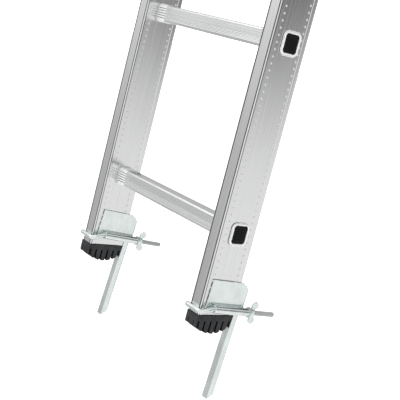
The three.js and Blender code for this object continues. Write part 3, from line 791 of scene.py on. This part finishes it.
def sole_parts(half_x, half_y):
    """The sole's skin, below a stile of the given half sizes that ends at height 0."""
    front, back, back_foot = foot_reach(half_y)
    under = sole_curve(front, back_foot)
    ys = sole_marks(front, back_foot, GROOVE_COUNT, GROOVE_WIDTH, END_LUG, LUG_STEPS)
    xs = sole_marks(-half_x - FOOT_RIM, half_x + FOOT_RIM, LONG_GROOVES, LONG_GROOVE_WIDTH, SIDE_LUG, 1)
    mesh = bmesh.new()
    roof = -GROOVE_ROOF
    slope = (back - back_foot) / FOOT_END_HEIGHT

    def lean(y, z):
        """The sole's back narrows on its way down, and each lug with it."""
        share = (y - front) / (back_foot - front)
        return y + share * slope * (FOOT_END_HEIGHT + max(z, -FOOT_END_HEIGHT))

    grid = [[mesh.verts.new((x, lean(y, roof), roof)) for x, _ in xs] for y, _ in ys]
    faces = {}
    for j in range(len(ys) - 1):
        for i in range(len(xs) - 1):
            quad = (grid[j][i], grid[j][i + 1], grid[j + 1][i + 1], grid[j + 1][i])
            faces[i, j] = mesh.faces.new(quad)
    rest = {v: y for (y, _), row in zip(ys, grid) for v in row}

    def draw_down(region, height):
        """Extrudes the faces and moves their far side to the given height under each point."""
        out = bmesh.ops.extrude_face_region(mesh, geom=region)["geom"]
        moved = [g for g in out if isinstance(g, bmesh.types.BMVert)]
        for v in moved:
            y = min(rest.values(), key=lambda r: abs(lean(r, v.co.z) - v.co.y))
            rest[v] = y
            v.co.z = height(y)
            v.co.y = lean(y, v.co.z)
        bmesh.ops.delete(mesh, geom=region, context="FACES")
        return [g for g in out if isinstance(g, bmesh.types.BMFace)]

    lugs = {}
    for (i, j), face in faces.items():
        if ys[j][1] == ys[j + 1][1]:
            lugs.setdefault(ys[j][1], []).append(face)
    for lug, region in lugs.items():
        bottom = draw_down(region, lambda y: under(y) + LONG_GROOVE_DEPTH)
        columns = {}
        for face in bottom:
            x = face.calc_center_median().x
            for i in range(len(xs) - 1):
                if xs[i][0] < x < xs[i + 1][0] and xs[i][1] == xs[i + 1][1]:
                    columns.setdefault(xs[i][1], []).append(face)
        for column in columns.values():
            narrowed(draw_down(column, under), lug)
    rim = [e for e in mesh.edges if e.is_boundary]
    walls = bmesh.ops.extrude_edge_only(mesh, edges=rim)["geom"]
    top = [g for g in walls if isinstance(g, bmesh.types.BMVert)]
    for v in top:
        y = min(rest.values(), key=lambda r: abs(lean(r, roof) - v.co.y))
        v.co.z = -SEAT
        v.co.y = lean(y, -SEAT)
    bmesh.ops.contextual_create(mesh, geom=[e for e in mesh.edges if e.is_boundary])
    bmesh.ops.recalc_face_normals(mesh, faces=mesh.faces)
    sole = ([v.co.copy() for v in mesh.verts], [tuple(v.index for v in f.verts) for f in mesh.faces])
    mesh.free()
    return sole


print("faces of one sole:", len(sole_parts(STILE_SIZE.x / 2, STILE_SIZE.y / 2)[1]))

# %% [markdown]
# ## Rubber feet
# A shank is added to the sole that reaches into the stile and holds the foot there. The faces between
# the lugs get the blacker rubber as painted shade, and a small bevel takes the sharpness off every edge.

# %% Rubber feet


def build_foot(side):
    node = f"foot_{side}"
    low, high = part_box(f"base_stile_{side}")
    middle, half_x, half_y = (low + high) / 2, (high.x - low.x) / 2, (high.y - low.y) / 2
    front, _, back_foot = foot_reach(half_y)
    wall = STILE_WALL + SEAT
    outline = rounded_box(2 * (half_x - wall), 2 * (half_y - wall), SHANK_CORNER)
    shank = [[Vector((p.x, p.y, z)) for p, _, _ in outline] for z in (-SHANK_OVERLAP, FOOT_SHANK)]
    verts, rubber_faces = merged([sole_parts(half_x, half_y), skin(shank)])
    origin = Vector((middle.x, middle.y, low.z))
    piece = put(f"{node}_sole", [origin + v for v in verts], rubber_faces, rubber)
    # Painted shade: the faces between the lugs take the blacker rubber.
    piece.data.materials.append(painted_shade_rubber)
    for face in piece.data.polygons:
        inside = front + MM < face.center.y - middle.y < back_foot - MM
        under_roof = face.center.z < low.z - GROOVE_ROOF + 0.1 * MM
        if under_roof and inside and abs(face.normal.x) < 0.5:
            face.material_index = 1
    bevelled(piece, FOOT_EDGE)
    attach(piece, "base")
    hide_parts(node)
    return piece


for side in SIDES:
    piece = build_foot(side)
    print(piece.name, len(piece.data.polygons), "faces")

# %% [markdown]
# ## Ground spikes
# Each spike is clamped at a slight lean, so it is built in its own straight frame and then set in
# place. That frame comes from the wing nut's joint: its line is the bolt's line.

# %% The clamp's frame
BOLT_X, BOLT_HEIGHT = 8.6 * MM, 9.5 * MM
joints = {joint["name"]: joint for joint in frame["joints"]}


def clamp_frame(side):
    """Takes a point beside the straight clamp to its place: x from the stile's face, y from the bar's
    front face and z from the clamp's zero, which is level with the stile's lower end."""
    joint = joints[f"wing_nut_{side}_turn"]
    along = Vector(joint["axis"]).normalized()
    across = Vector((1.0, 0.0, 0.0))
    place = Matrix((across, along, across.cross(along))).transposed().to_4x4()
    place.translation = Vector(joint["pos_m"])
    return place @ Matrix.Translation((-BOLT_X, 0.0, -BOLT_HEIGHT))


def placed(side, parts):
    """Vertices and faces moved from the straight clamp to their place on one side."""
    place = clamp_frame(side)
    verts, faces = parts
    return [place @ Vector(v) for v in verts], faces


def clamp_piece(name, side, parts, material, body, node=None):
    """A piece of a clamp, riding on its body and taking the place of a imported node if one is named."""
    piece = put(name, *placed(side, parts), material)
    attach(piece, body)
    if node:
        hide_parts(node)
    return piece


for side in SIDES:
    lean = math.degrees(math.asin(-joints[f"wing_nut_{side}_turn"]["axis"][2]))
    print(side, "spike leans", round(lean, 1), "degrees")

# %% [markdown]
# ## Spike bar and holder plate
# The spike is a square bar with its end cut to a wedge. It lies in the bend of a plate that is folded
# round it, and the plate's top back corner is cut off. The plate is a sheet of points given its
# thickness by hand, because the cut then follows the bend exactly.

# %% Spike bar and holder plate
BAR, BAR_LENGTH, BAR_TOP = 12.5 * MM, 136.0 * MM, 46.0 * MM
PLATE, PLATE_BEND, PLATE_REACH = 2.0 * MM, 5.0 * MM, 59.4 * MM
PLATE_TOP, PLATE_BOTTOM, PLATE_CHAMFER = 51.5 * MM, 4.0 * MM, 12.0 * MM
PLATE_ROWS, BEND_STEPS = 10, 8
TIP_FLAT, BAR_EDGE, PLATE_EDGE = 1.6 * MM, 0.6 * MM, 0.3 * MM


def bar_parts():
    """A square bar with one corner cut for the plate's bend, and its lower end cut to a wedge."""
    cut = PLATE_BEND - PLATE
    section = [(-BAR, 0.0), (0.0, 0.0), (0.0, BAR - cut), (-cut, BAR), (-BAR, BAR)]
    top = [Vector((x, y, BAR_TOP)) for x, y in section]
    tip = [Vector((x, y, -BAR_LENGTH + max(0.0, y - TIP_FLAT))) for x, y in section]
    return skin([tip, top])


def plate_parts():
    """The folded sheet, as rings across it from the front edge round the bend to the back edge."""
    outer = SEAT + PLATE
    back = BAR + outer
    inside = [Vector((SEAT, -PLATE_REACH)), Vector((SEAT, -PLATE_REACH / 2)), Vector((SEAT, 0.0))]
    outside = [Vector((outer, p.y)) for p in inside]
    centre = Vector((outer - PLATE_BEND, back - PLATE_BEND))
    for k in range(BEND_STEPS + 1):
        a = math.pi / 2 * k / BEND_STEPS
        turn = Vector((math.cos(a), math.sin(a)))
        inside.append(centre + turn * (PLATE_BEND - PLATE))
        outside.append(centre + turn * PLATE_BEND)
    inside.append(Vector((-BAR, back - PLATE)))
    outside.append(Vector((-BAR, back)))
    rings = []
    for a, b in zip(inside, outside):
        top = PLATE_TOP - max(0.0, b.y - (back - PLATE_CHAMFER))
        rows = [PLATE_BOTTOM + (top - PLATE_BOTTOM) * k / PLATE_ROWS for k in range(PLATE_ROWS + 1)]
        rings.append([Vector((a.x, a.y, z)) for z in rows] + [Vector((b.x, b.y, z)) for z in reversed(rows)])
    return skin(rings)


for side in SIDES:
    body = f"spike_{side}"
    bar = clamp_piece(f"spike_bar_{side}_steel", side, bar_parts(), zinc, body, f"spike_bar_{side}")
    bevelled(bar, BAR_EDGE)
    plate = clamp_piece(f"spike_holder_{side}_sheet", side, plate_parts(), zinc, body, f"spike_holder_{side}")
    bevelled(plate, PLATE_EDGE)
    print(bar.name, plate.name)

# %% [markdown]
# ## Sleeve and weld
# A short tube is welded along the plate to guide the hook bolt. The weld is a row of overlapping
# drops: a rod whose thickness rises and falls in a regular ripple looks right at any distance.

# %% Sleeve and weld
SLEEVE_RADIUS, SLEEVE_BORE, SLEEVE_FRONT, SLEEVE_BACK = 6.0 * MM, 4.15 * MM, 50.0 * MM, 18.0 * MM
WELD_FROM, WELD_TO, WELD_DROPS = -46.0 * MM, 12.0 * MM, 17
WELD_RADIUS, WELD_RIPPLE = 2.5 * MM, 1.0 * MM
DROP_STEPS, WELD_SIDES, WELD_END = 6, 14, 0.25
# How far the weld's line sways, how fast, and where it runs: off the plate and under the sleeve's top.
WELD_SWAY, SWAY_RATE, WELD_OFF_PLATE, WELD_DROP = 0.35 * MM, 0.61, 1.2 * MM, 0.9 * MM
SLEEVE_EDGE, SLEEVE_SIDES = 0.5 * MM, 32


def sleeve_parts():
    """A tube with all four of its end edges broken, as one closed loop of rings."""
    front, back = -SLEEVE_FRONT, SLEEVE_BACK
    outer, inner, edge = SLEEVE_RADIUS, SLEEVE_BORE, SLEEVE_EDGE
    profile = [(outer - edge, front), (outer, front + edge), (outer, back - edge), (outer - edge, back),
               (inner + edge, back), (inner, back - edge), (inner, front + edge), (inner + edge, front)]
    rings = [[Vector((BOLT_X + c.x, along, BOLT_HEIGHT + c.y)) for c in circle(radius, SLEEVE_SIDES)]
             for radius, along in profile]
    return skin(rings, loop=True)


def weld_parts():
    """A rod that swells and shrinks once for each drop, and runs out at both ends."""
    steps = WELD_DROPS * DROP_STEPS
    path = []
    for k in range(steps + 1):
        y = WELD_FROM + (WELD_TO - WELD_FROM) * k / steps
        sway = WELD_SWAY * math.sin(k * SWAY_RATE)
        x, z = SEAT + PLATE + WELD_OFF_PLATE + sway, BOLT_HEIGHT + SLEEVE_RADIUS - WELD_DROP - sway
        path.append(Vector((x, y, z)))

    def thickness(k):
        ends = min(1.0, k / 5, (steps - k) / 5)
        ripple = WELD_RIPPLE * abs(math.sin(math.pi * k / DROP_STEPS))
        return (WELD_RADIUS + ripple - WELD_RIPPLE) * max(WELD_END, ends)

    return skin(rod_rings(path, thickness, WELD_SIDES))


for side in SIDES:
    body = f"spike_{side}"
    clamp_piece(f"spike_sleeve_{side}_tube", side, sleeve_parts(), zinc, body, f"spike_sleeve_{side}")
    weld = clamp_piece(f"sleeve_weld_{side}", side, weld_parts(), weld_zinc, body)
    print(weld.name, len(weld.data.polygons), "faces")

# %% [markdown]
# ## Hook bolt
# One rod makes the hook and the screw. Its front is bent round the stile, and its back carries a
# rolled thread. The thread is real geometry: each ring round the rod is drawn in by a depth that
# turns with the angle, which leaves a helix. The hook comes first: a few points round the stile's
# front, joined by a smooth curve, because a bent rod has no sharp corners.

# %% The hook's bend
BOLT_RADIUS, BOLT_BACK_END = 3.75 * MM, 70.5 * MM
THREAD_PITCH, THREAD_DEPTH, THREAD_FROM = 1.25 * MM, 0.45 * MM, 12.0 * MM
THREAD_SIDES, THREAD_STEPS = 20, 6
TIP_CHAMFER, TIP_DROP = 1.2 * MM, 0.8 * MM
NUT_REAR = 28.0 * MM
# Distance past the hook's end and share of its radius, for a rounded end.
HOOK_END = ((1.0 * MM, 0.93), (1.8 * MM, 0.72), (2.2 * MM, 0.42))
HOOK_HEIGHT, HOOK_BEND, HOOK_CLEARANCE, HOOK_PAST_STILE = 7.5 * MM, 7.0 * MM, 0.5 * MM, 2.5 * MM


def hook_path(side):
    """The hook's line in the clamp's frame, from the sleeve's mouth round the front of the stile."""
    place = clamp_frame(side)
    low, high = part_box(f"base_stile_{side}")
    zero = place.translation
    crossing = Vector((zero.x, low.y - HOOK_CLEARANCE - BOLT_RADIUS, zero.z + HOOK_HEIGHT))
    front = place.inverted() @ crossing
    end = -STILE_WIDTH - HOOK_PAST_STILE
    drop = (BOLT_HEIGHT + front.z) / 2
    points = [(BOLT_X, -SLEEVE_FRONT + BOLT_RADIUS, BOLT_HEIGHT),
              (BOLT_X, -SLEEVE_FRONT - SEAT, BOLT_HEIGHT),
              (BOLT_X, front.y + 1.5 * HOOK_BEND, drop),
              (BOLT_X - HOOK_BEND / 3, front.y + HOOK_BEND / 3, front.z),
              (BOLT_X - HOOK_BEND, front.y, front.z), (-STILE_WIDTH / 2, front.y, front.z),
              (end + HOOK_PAST_STILE, front.y, front.z), (end, front.y + HOOK_PAST_STILE / 2, front.z)]
    return smooth_path([Vector(p) for p in points])


print("points along the right hook:", len(hook_path("right")))

# %% [markdown]
# ## The bolt's thread
# The threaded end is a stack of rings, six to each turn of the thread. At any ring the radius follows a
# wave round the rod, and the wave starts a little later on the next ring. Behind the nut the bare
# thread gets the greyer plating, a painted shade for its flanks.

# %% The bolt's thread


def thread_rings():
    """Rings along the threaded end, from the plain shank to a chamfered tip."""
    turns = (BOLT_BACK_END - THREAD_FROM) / THREAD_PITCH
    steps = int(turns * THREAD_STEPS)
    rings = []
    for i in range(steps + 1):
        y = THREAD_FROM + (BOLT_BACK_END - THREAD_FROM) * i / steps
        ring = []
        for k in range(THREAD_SIDES):
            a = 2 * math.pi * k / THREAD_SIDES
            wave = 0.5 - 0.5 * math.cos(2 * math.pi * (y / THREAD_PITCH) - a)
            ends = min(1.0, i / (2 * THREAD_STEPS))
            tip = max(0.0, 1.0 - (BOLT_BACK_END - y) / TIP_CHAMFER) * TIP_DROP
            r = BOLT_RADIUS - THREAD_DEPTH * wave * ends - tip
            ring.append(Vector((BOLT_X + r * math.cos(a), y, BOLT_HEIGHT + r * math.sin(a))))
        rings.append(ring)
    return rings


def bolt_parts(side):
    """The hook with its rounded end, then the shank and thread, which start inside the hook's rod."""
    hook = hook_path(side)
    onward = (hook[-1] - hook[-2]).normalized()
    rounded = [hook[-1] + onward * distance for distance, _ in HOOK_END]
    radii = [BOLT_RADIUS] * len(hook) + [BOLT_RADIUS * share for _, share in HOOK_END]
    hook_rings = rod_rings(hook + rounded, lambda i: radii[i], THREAD_SIDES)
    shank = [[Vector((BOLT_X + c.x, y, BOLT_HEIGHT + c.y)) for c in circle(BOLT_RADIUS, THREAD_SIDES)]
             for y in (-SLEEVE_FRONT, THREAD_FROM)]
    return merged([skin(hook_rings), skin(shank[:1] + thread_rings())])


for side in SIDES:
    node = f"hook_bolt_{side}"
    bolt = clamp_piece(f"{node}_rod", side, bolt_parts(side), zinc, node, node)
    # Painted shade: the bare thread behind the nut takes the darker plating copy.
    bolt.data.materials.append(painted_shade_thread_zinc)
    in_clamp = clamp_frame(side).inverted()
    for face in bolt.data.polygons:
        face.material_index = int((in_clamp @ face.center).y > NUT_REAR)
    print(bolt.name, len(bolt.data.polygons), "faces")

# %% [markdown]
# ## Wing nut
# A cast wing nut has a tapered hub and two round ears on short necks. An ear is the outline of a disc
# and its neck, repeated across its thickness and drawn in towards both faces, so its rim is rounded.

# %% Wing nut
NUT_FROM, NUT_LENGTH = SLEEVE_BACK + 2.2 * MM, 9.0 * MM
NUT_BASE, NUT_TOP, NUT_BORE = 7.0 * MM, 5.6 * MM, 4.05 * MM
WING_RADIUS, WING_REACH, WING_SWEEP = 6.2 * MM, 11.0 * MM, 3.0 * MM
WING_THICK, WING_THIN = 1.5 * MM, 1.0 * MM
WING_MIDDLE = NUT_FROM + NUT_LENGTH / 2 + 1.5 * WING_SWEEP
HUB_SIDES, EAR_STEPS, EAR_FOOT = 28, 16, 4.6 * MM
# Half the ear's thickness and how much of its outline is left at each ring, from one face to the rim.
EAR_FACE = ((WING_THICK - 0.1 * MM, 0.80), (WING_THICK, 0.90), (WING_THIN, 0.98), (0.4 * MM, 1.0))


def hub_parts():
    """The tapered hub with its bore, as one closed loop of rings."""
    to = NUT_FROM + NUT_LENGTH
    profile = [(NUT_BASE - 0.6 * MM, NUT_FROM), (NUT_BASE, NUT_FROM + 0.6 * MM),
               (NUT_BASE, NUT_FROM + 1.8 * MM), (NUT_TOP + 0.5 * MM, to - 2.5 * MM),
               (NUT_TOP, to - 0.7 * MM), (NUT_TOP - 0.7 * MM, to), (NUT_BORE + 0.5 * MM, to),
               (NUT_BORE, to - 0.5 * MM), (NUT_BORE, NUT_FROM + 0.5 * MM), (NUT_BORE + 0.5 * MM, NUT_FROM)]
    rings = [[Vector((BOLT_X + c.x, along, BOLT_HEIGHT + c.y)) for c in circle(radius, HUB_SIDES)]
             for radius, along in profile]
    return skin(rings, loop=True)


def wing_parts(sign):
    """One ear, above the hub or below it: rings across its thickness, smaller towards both faces."""
    feet = (NUT_FROM + 1.2 * MM, NUT_FROM + NUT_LENGTH - 0.6 * MM)
    neck, neck_top = WING_RADIUS * 0.95, WING_REACH - 1.8 * MM
    outline = [Vector((feet[0], EAR_FOOT)), Vector((WING_MIDDLE - neck, neck_top))]
    centre = Vector((WING_MIDDLE, WING_REACH))
    for k in range(EAR_STEPS + 1):
        a = math.radians(195 - 210 * k / EAR_STEPS)
        outline.append(centre + Vector((math.cos(a), math.sin(a))) * WING_RADIUS)
    outline += [Vector((WING_MIDDLE + neck, neck_top)), Vector((feet[1], EAR_FOOT))]
    rings = []
    for x, shrink in [(-half, left) for half, left in EAR_FACE] + list(reversed(EAR_FACE)):
        ring = []
        for p in outline:
            near = min(1.0, max(0.0, (p.y - EAR_FOOT) / (WING_REACH - EAR_FOOT)))
            q = centre + (p - centre) * (1.0 - (1.0 - shrink) * near)
            ring.append(Vector((BOLT_X + x, q.x, BOLT_HEIGHT + sign * q.y)))
        rings.append(ring)
    return skin(rings)


for side in SIDES:
    parts = merged([hub_parts(), wing_parts(1), wing_parts(-1)])
    node = f"wing_nut_{side}"
    nut = clamp_piece(f"{node}_casting", side, parts, zinc, node, node)
    print(nut.name, len(nut.data.polygons), "faces")

# %% [markdown]
# ## Brackets, caps, hooks and pins
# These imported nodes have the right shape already. They get a rounded edge and their own finish, and
# the guide brackets get the rivets that hold them to their stile.

# %% Brackets, caps, hooks and pins
RIVET_RADIUS, RIVET_RISE, RIVET_SPACING = 3.2 * MM, 1.3 * MM, 18.0 * MM
RIVET_STEPS, RIVET_SIDES, RIVET_SINK = 6, 18, 0.1 * MM


def dress(node, material, edge):
    """A finish and a rounded edge for a node of the frame."""
    piece = frame["nodes"][node]
    piece.data.materials.clear()
    piece.data.materials.append(material)
    bevelled(piece, edge)


for side in SIDES:
    dress(f"washer_{side}", zinc, 0.2 * MM)
    dress(f"rung_hook_{side}", hook_steel, 0.8 * MM)
    dress(f"hook_pin_{side}", hook_steel, 0.6 * MM)
    for cap in ("base_top_cap", "fly_top_cap", "fly_bottom_cap"):
        dress(f"{cap}_{side}", plastic, 0.9 * MM)
    for section in ("base", "fly"):
        dress(f"{section}_guide_{side}", guide_metal, 0.6 * MM)


def rivet_parts(centre, out):
    """A domed rivet head."""
    rings = []
    for k in range(RIVET_STEPS):
        a = math.pi / 2 * k / (RIVET_STEPS - 0.5)
        r, rise = RIVET_RADIUS * math.cos(a), RIVET_RISE * math.sin(a)
        rings.append([centre + Vector((out * rise, c.x, c.y)) for c in circle(r, RIVET_SIDES)])
    return skin(rings)


for section in ("base", "fly"):
    for side in SIDES:
        out = 1 if side == "right" else -1
        low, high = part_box(f"{section}_guide_{side}")
        stile_low, stile_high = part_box(f"{section}_stile_{side}")
        x = (high.x if out > 0 else low.x) - out * RIVET_SINK
        y, z = (stile_low.y + stile_high.y) / 2, (low.z + high.z) / 2
        heads = [rivet_parts(Vector((x, y + dy, z)), out) for dy in (-RIVET_SPACING, RIVET_SPACING)]
        rivets = put(f"{section}_guide_rivets_{side}", *merged(heads), hook_steel)
        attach(rivets, section)
print("dressed the packed brackets, caps, hooks, pins and washers")

# %% [markdown]
# ## Floor and backdrop
# The ladder stands on a pale floor in front of a white backdrop. Bright white all round would wash
# polished metal out, so the metal doesn't see either of them: it mirrors the room of the next step.

# %% Floor and backdrop
bpy.context.scene.view_settings.view_transform = "Standard"
FLOOR_SIZE, BACKDROP_RADIUS, BACKDROP_FROM = 40.0, 30.0, -1.0
FLOOR_GLOW, BACKDROP_GLOW, FLOOR_GAP = 0.55, 1.0, 0.2 * MM


def glowing(name, strength):
    """A matt off-white that gives some light of its own."""
    material, _, shader = new_material(name, (0.93, 0.93, 0.93), 0.0, 0.9)
    shader.inputs["Emission Color"].default_value = (1.0, 1.0, 1.0, 1.0)
    shader.inputs["Emission Strength"].default_value = strength
    return material


corners = [Vector((x * FLOOR_SIZE, y * FLOOR_SIZE, 0.0)) for x, y in ((-1, -1), (1, -1), (1, 1), (-1, 1))]
floor = put("floor", corners, [(0, 1, 2, 3)], glowing("pale_floor", FLOOR_GLOW))
floor.location.z = cad_box[0].z - FLOOR_GAP
wall_ring = circle(BACKDROP_RADIUS, 48)
walls = [[Vector((c.x, c.y, z)) for c in wall_ring] for z in (BACKDROP_FROM, BACKDROP_RADIUS)]
backdrop = put("backdrop", *skin(walls), glowing("white_backdrop", BACKDROP_GLOW))
for piece in (floor, backdrop):
    piece.visible_glossy = False
    piece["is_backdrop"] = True
backdrop.visible_diffuse = backdrop.visible_shadow = False
print("stage:", floor.name, backdrop.name)

# %% [markdown]
# ## The room the metal mirrors
# A flat metal face mirrors one direction of the room, so its tone is set by what hangs there. The room
# is a white tent with soft dark patches, as a studio hangs black cards, and two bright ones. Each
# patch is a direction and two cosines: it begins at one and has its full strength at the other. Such a
# patch is easier to aim than a real card, because the face that mirrors it tells its direction.

# %% The room
ROOM_BASE = 0.92
# Direction, the cosines where a patch begins and is full, and what it adds.
UPPER_WEBS = ((0.760, 0.603, 0.242), 0.925, 0.990, -0.80)
FRONT_FACES = ((-0.724, -0.545, -0.423), 0.835, 0.975, -0.44)
FRONT_CORNERS = ((-0.465, -0.875, -0.139), 0.972, 0.996, 0.60)
RUNG_UNDERSIDES = ((-0.76, 0.60, -0.40), 0.84, 0.97, -0.66)
RUNG_TOPS = ((-0.70, 0.60, 0.45), 0.80, 0.97, -0.36)
SLEEVE_TOPS = ((-0.12, 0.66, 0.74), 0.84, 0.96, -0.80)
BENDS = ((-0.05, 1.0, 0.0), 0.86, 0.97, -0.45)
RUNG_EDGES = ((-0.40, -0.35, 0.85), 0.84, 0.95, 0.45)
ROOM_PATCHES = (UPPER_WEBS, FRONT_FACES, FRONT_CORNERS, RUNG_UNDERSIDES, RUNG_TOPS, SLEEVE_TOPS, BENDS,
                RUNG_EDGES)
world = bpy.data.worlds.new("room")
bpy.context.scene.world = world
world.use_nodes = True
tree = world.node_tree
sky = tree.nodes["Background"]
sky.inputs["Color"].default_value = (1.0, 1.0, 1.0, 1.0)
heading = tree.nodes.new("ShaderNodeTexCoord").outputs["Generated"]
total = None
for direction, begins, full, strength in ROOM_PATCHES:
    facing = tree.nodes.new("ShaderNodeVectorMath")
    facing.operation = "DOT_PRODUCT"
    facing.inputs[1].default_value = Vector(direction).normalized()
    tree.links.new(heading, facing.inputs[0])
    patch = tree.nodes.new("ShaderNodeMapRange")
    patch.interpolation_type = "SMOOTHSTEP"
    for key, value in (("From Min", begins), ("From Max", full), ("To Min", 0.0), ("To Max", strength)):
        patch.inputs[key].default_value = value
    tree.links.new(facing.outputs["Value"], patch.inputs["Value"])
    adding = tree.nodes.new("ShaderNodeMath")
    adding.operation = "ADD"
    adding.inputs[1].default_value = ROOM_BASE
    if total:
        tree.links.new(total, adding.inputs[1])
    tree.links.new(patch.outputs["Result"], adding.inputs[0])
    total = adding.outputs[0]
tree.links.new(total, sky.inputs["Strength"])
print("room with", len(ROOM_PATCHES), "patches")

# %% [markdown]
# ## Studio light
# The room gives nearly all the light. One large, weak softbox in front on the left lets the matt rubber
# and plastic show their form, and its size keeps the shadows soft.

# %% Studio light
SOFTBOX_PLACE, SOFTBOX_TARGET = (-1.6, -2.2, 2.0), (0.0, 0.0, 0.3)
SOFTBOX_SIZE, SOFTBOX_POWER = (1.2, 1.2), 12.0


def soft_light(name, place, target, size, power):
    """A rectangular light at a place, turned to a target."""
    light = bpy.data.lights.new(name, "AREA")
    light.shape, light.size, light.size_y, light.energy = "RECTANGLE", size[0], size[1], power
    lamp = bpy.data.objects.new(name, light)
    lamp.location = place
    lamp.rotation_euler = (Vector(target) - Vector(place)).to_track_quat("-Z", "Y").to_euler()
    bpy.context.scene.collection.objects.link(lamp)
    return lamp


lamp = soft_light("front_softbox", SOFTBOX_PLACE, SOFTBOX_TARGET, SOFTBOX_SIZE, SOFTBOX_POWER)
print("studio light:", lamp.name)

# %% [markdown]
# ## Print the sizes and finish
# Fine pieces mustn't make the ladder bigger than the imported model. Both boxes are printed, so any
# growth shows at once.

# %% Finish
visual_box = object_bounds()
for name, box in (("CAD box", cad_box), ("visual box", visual_box)):
    print(name, [[round(c, 4) for c in corner] for corner in box])
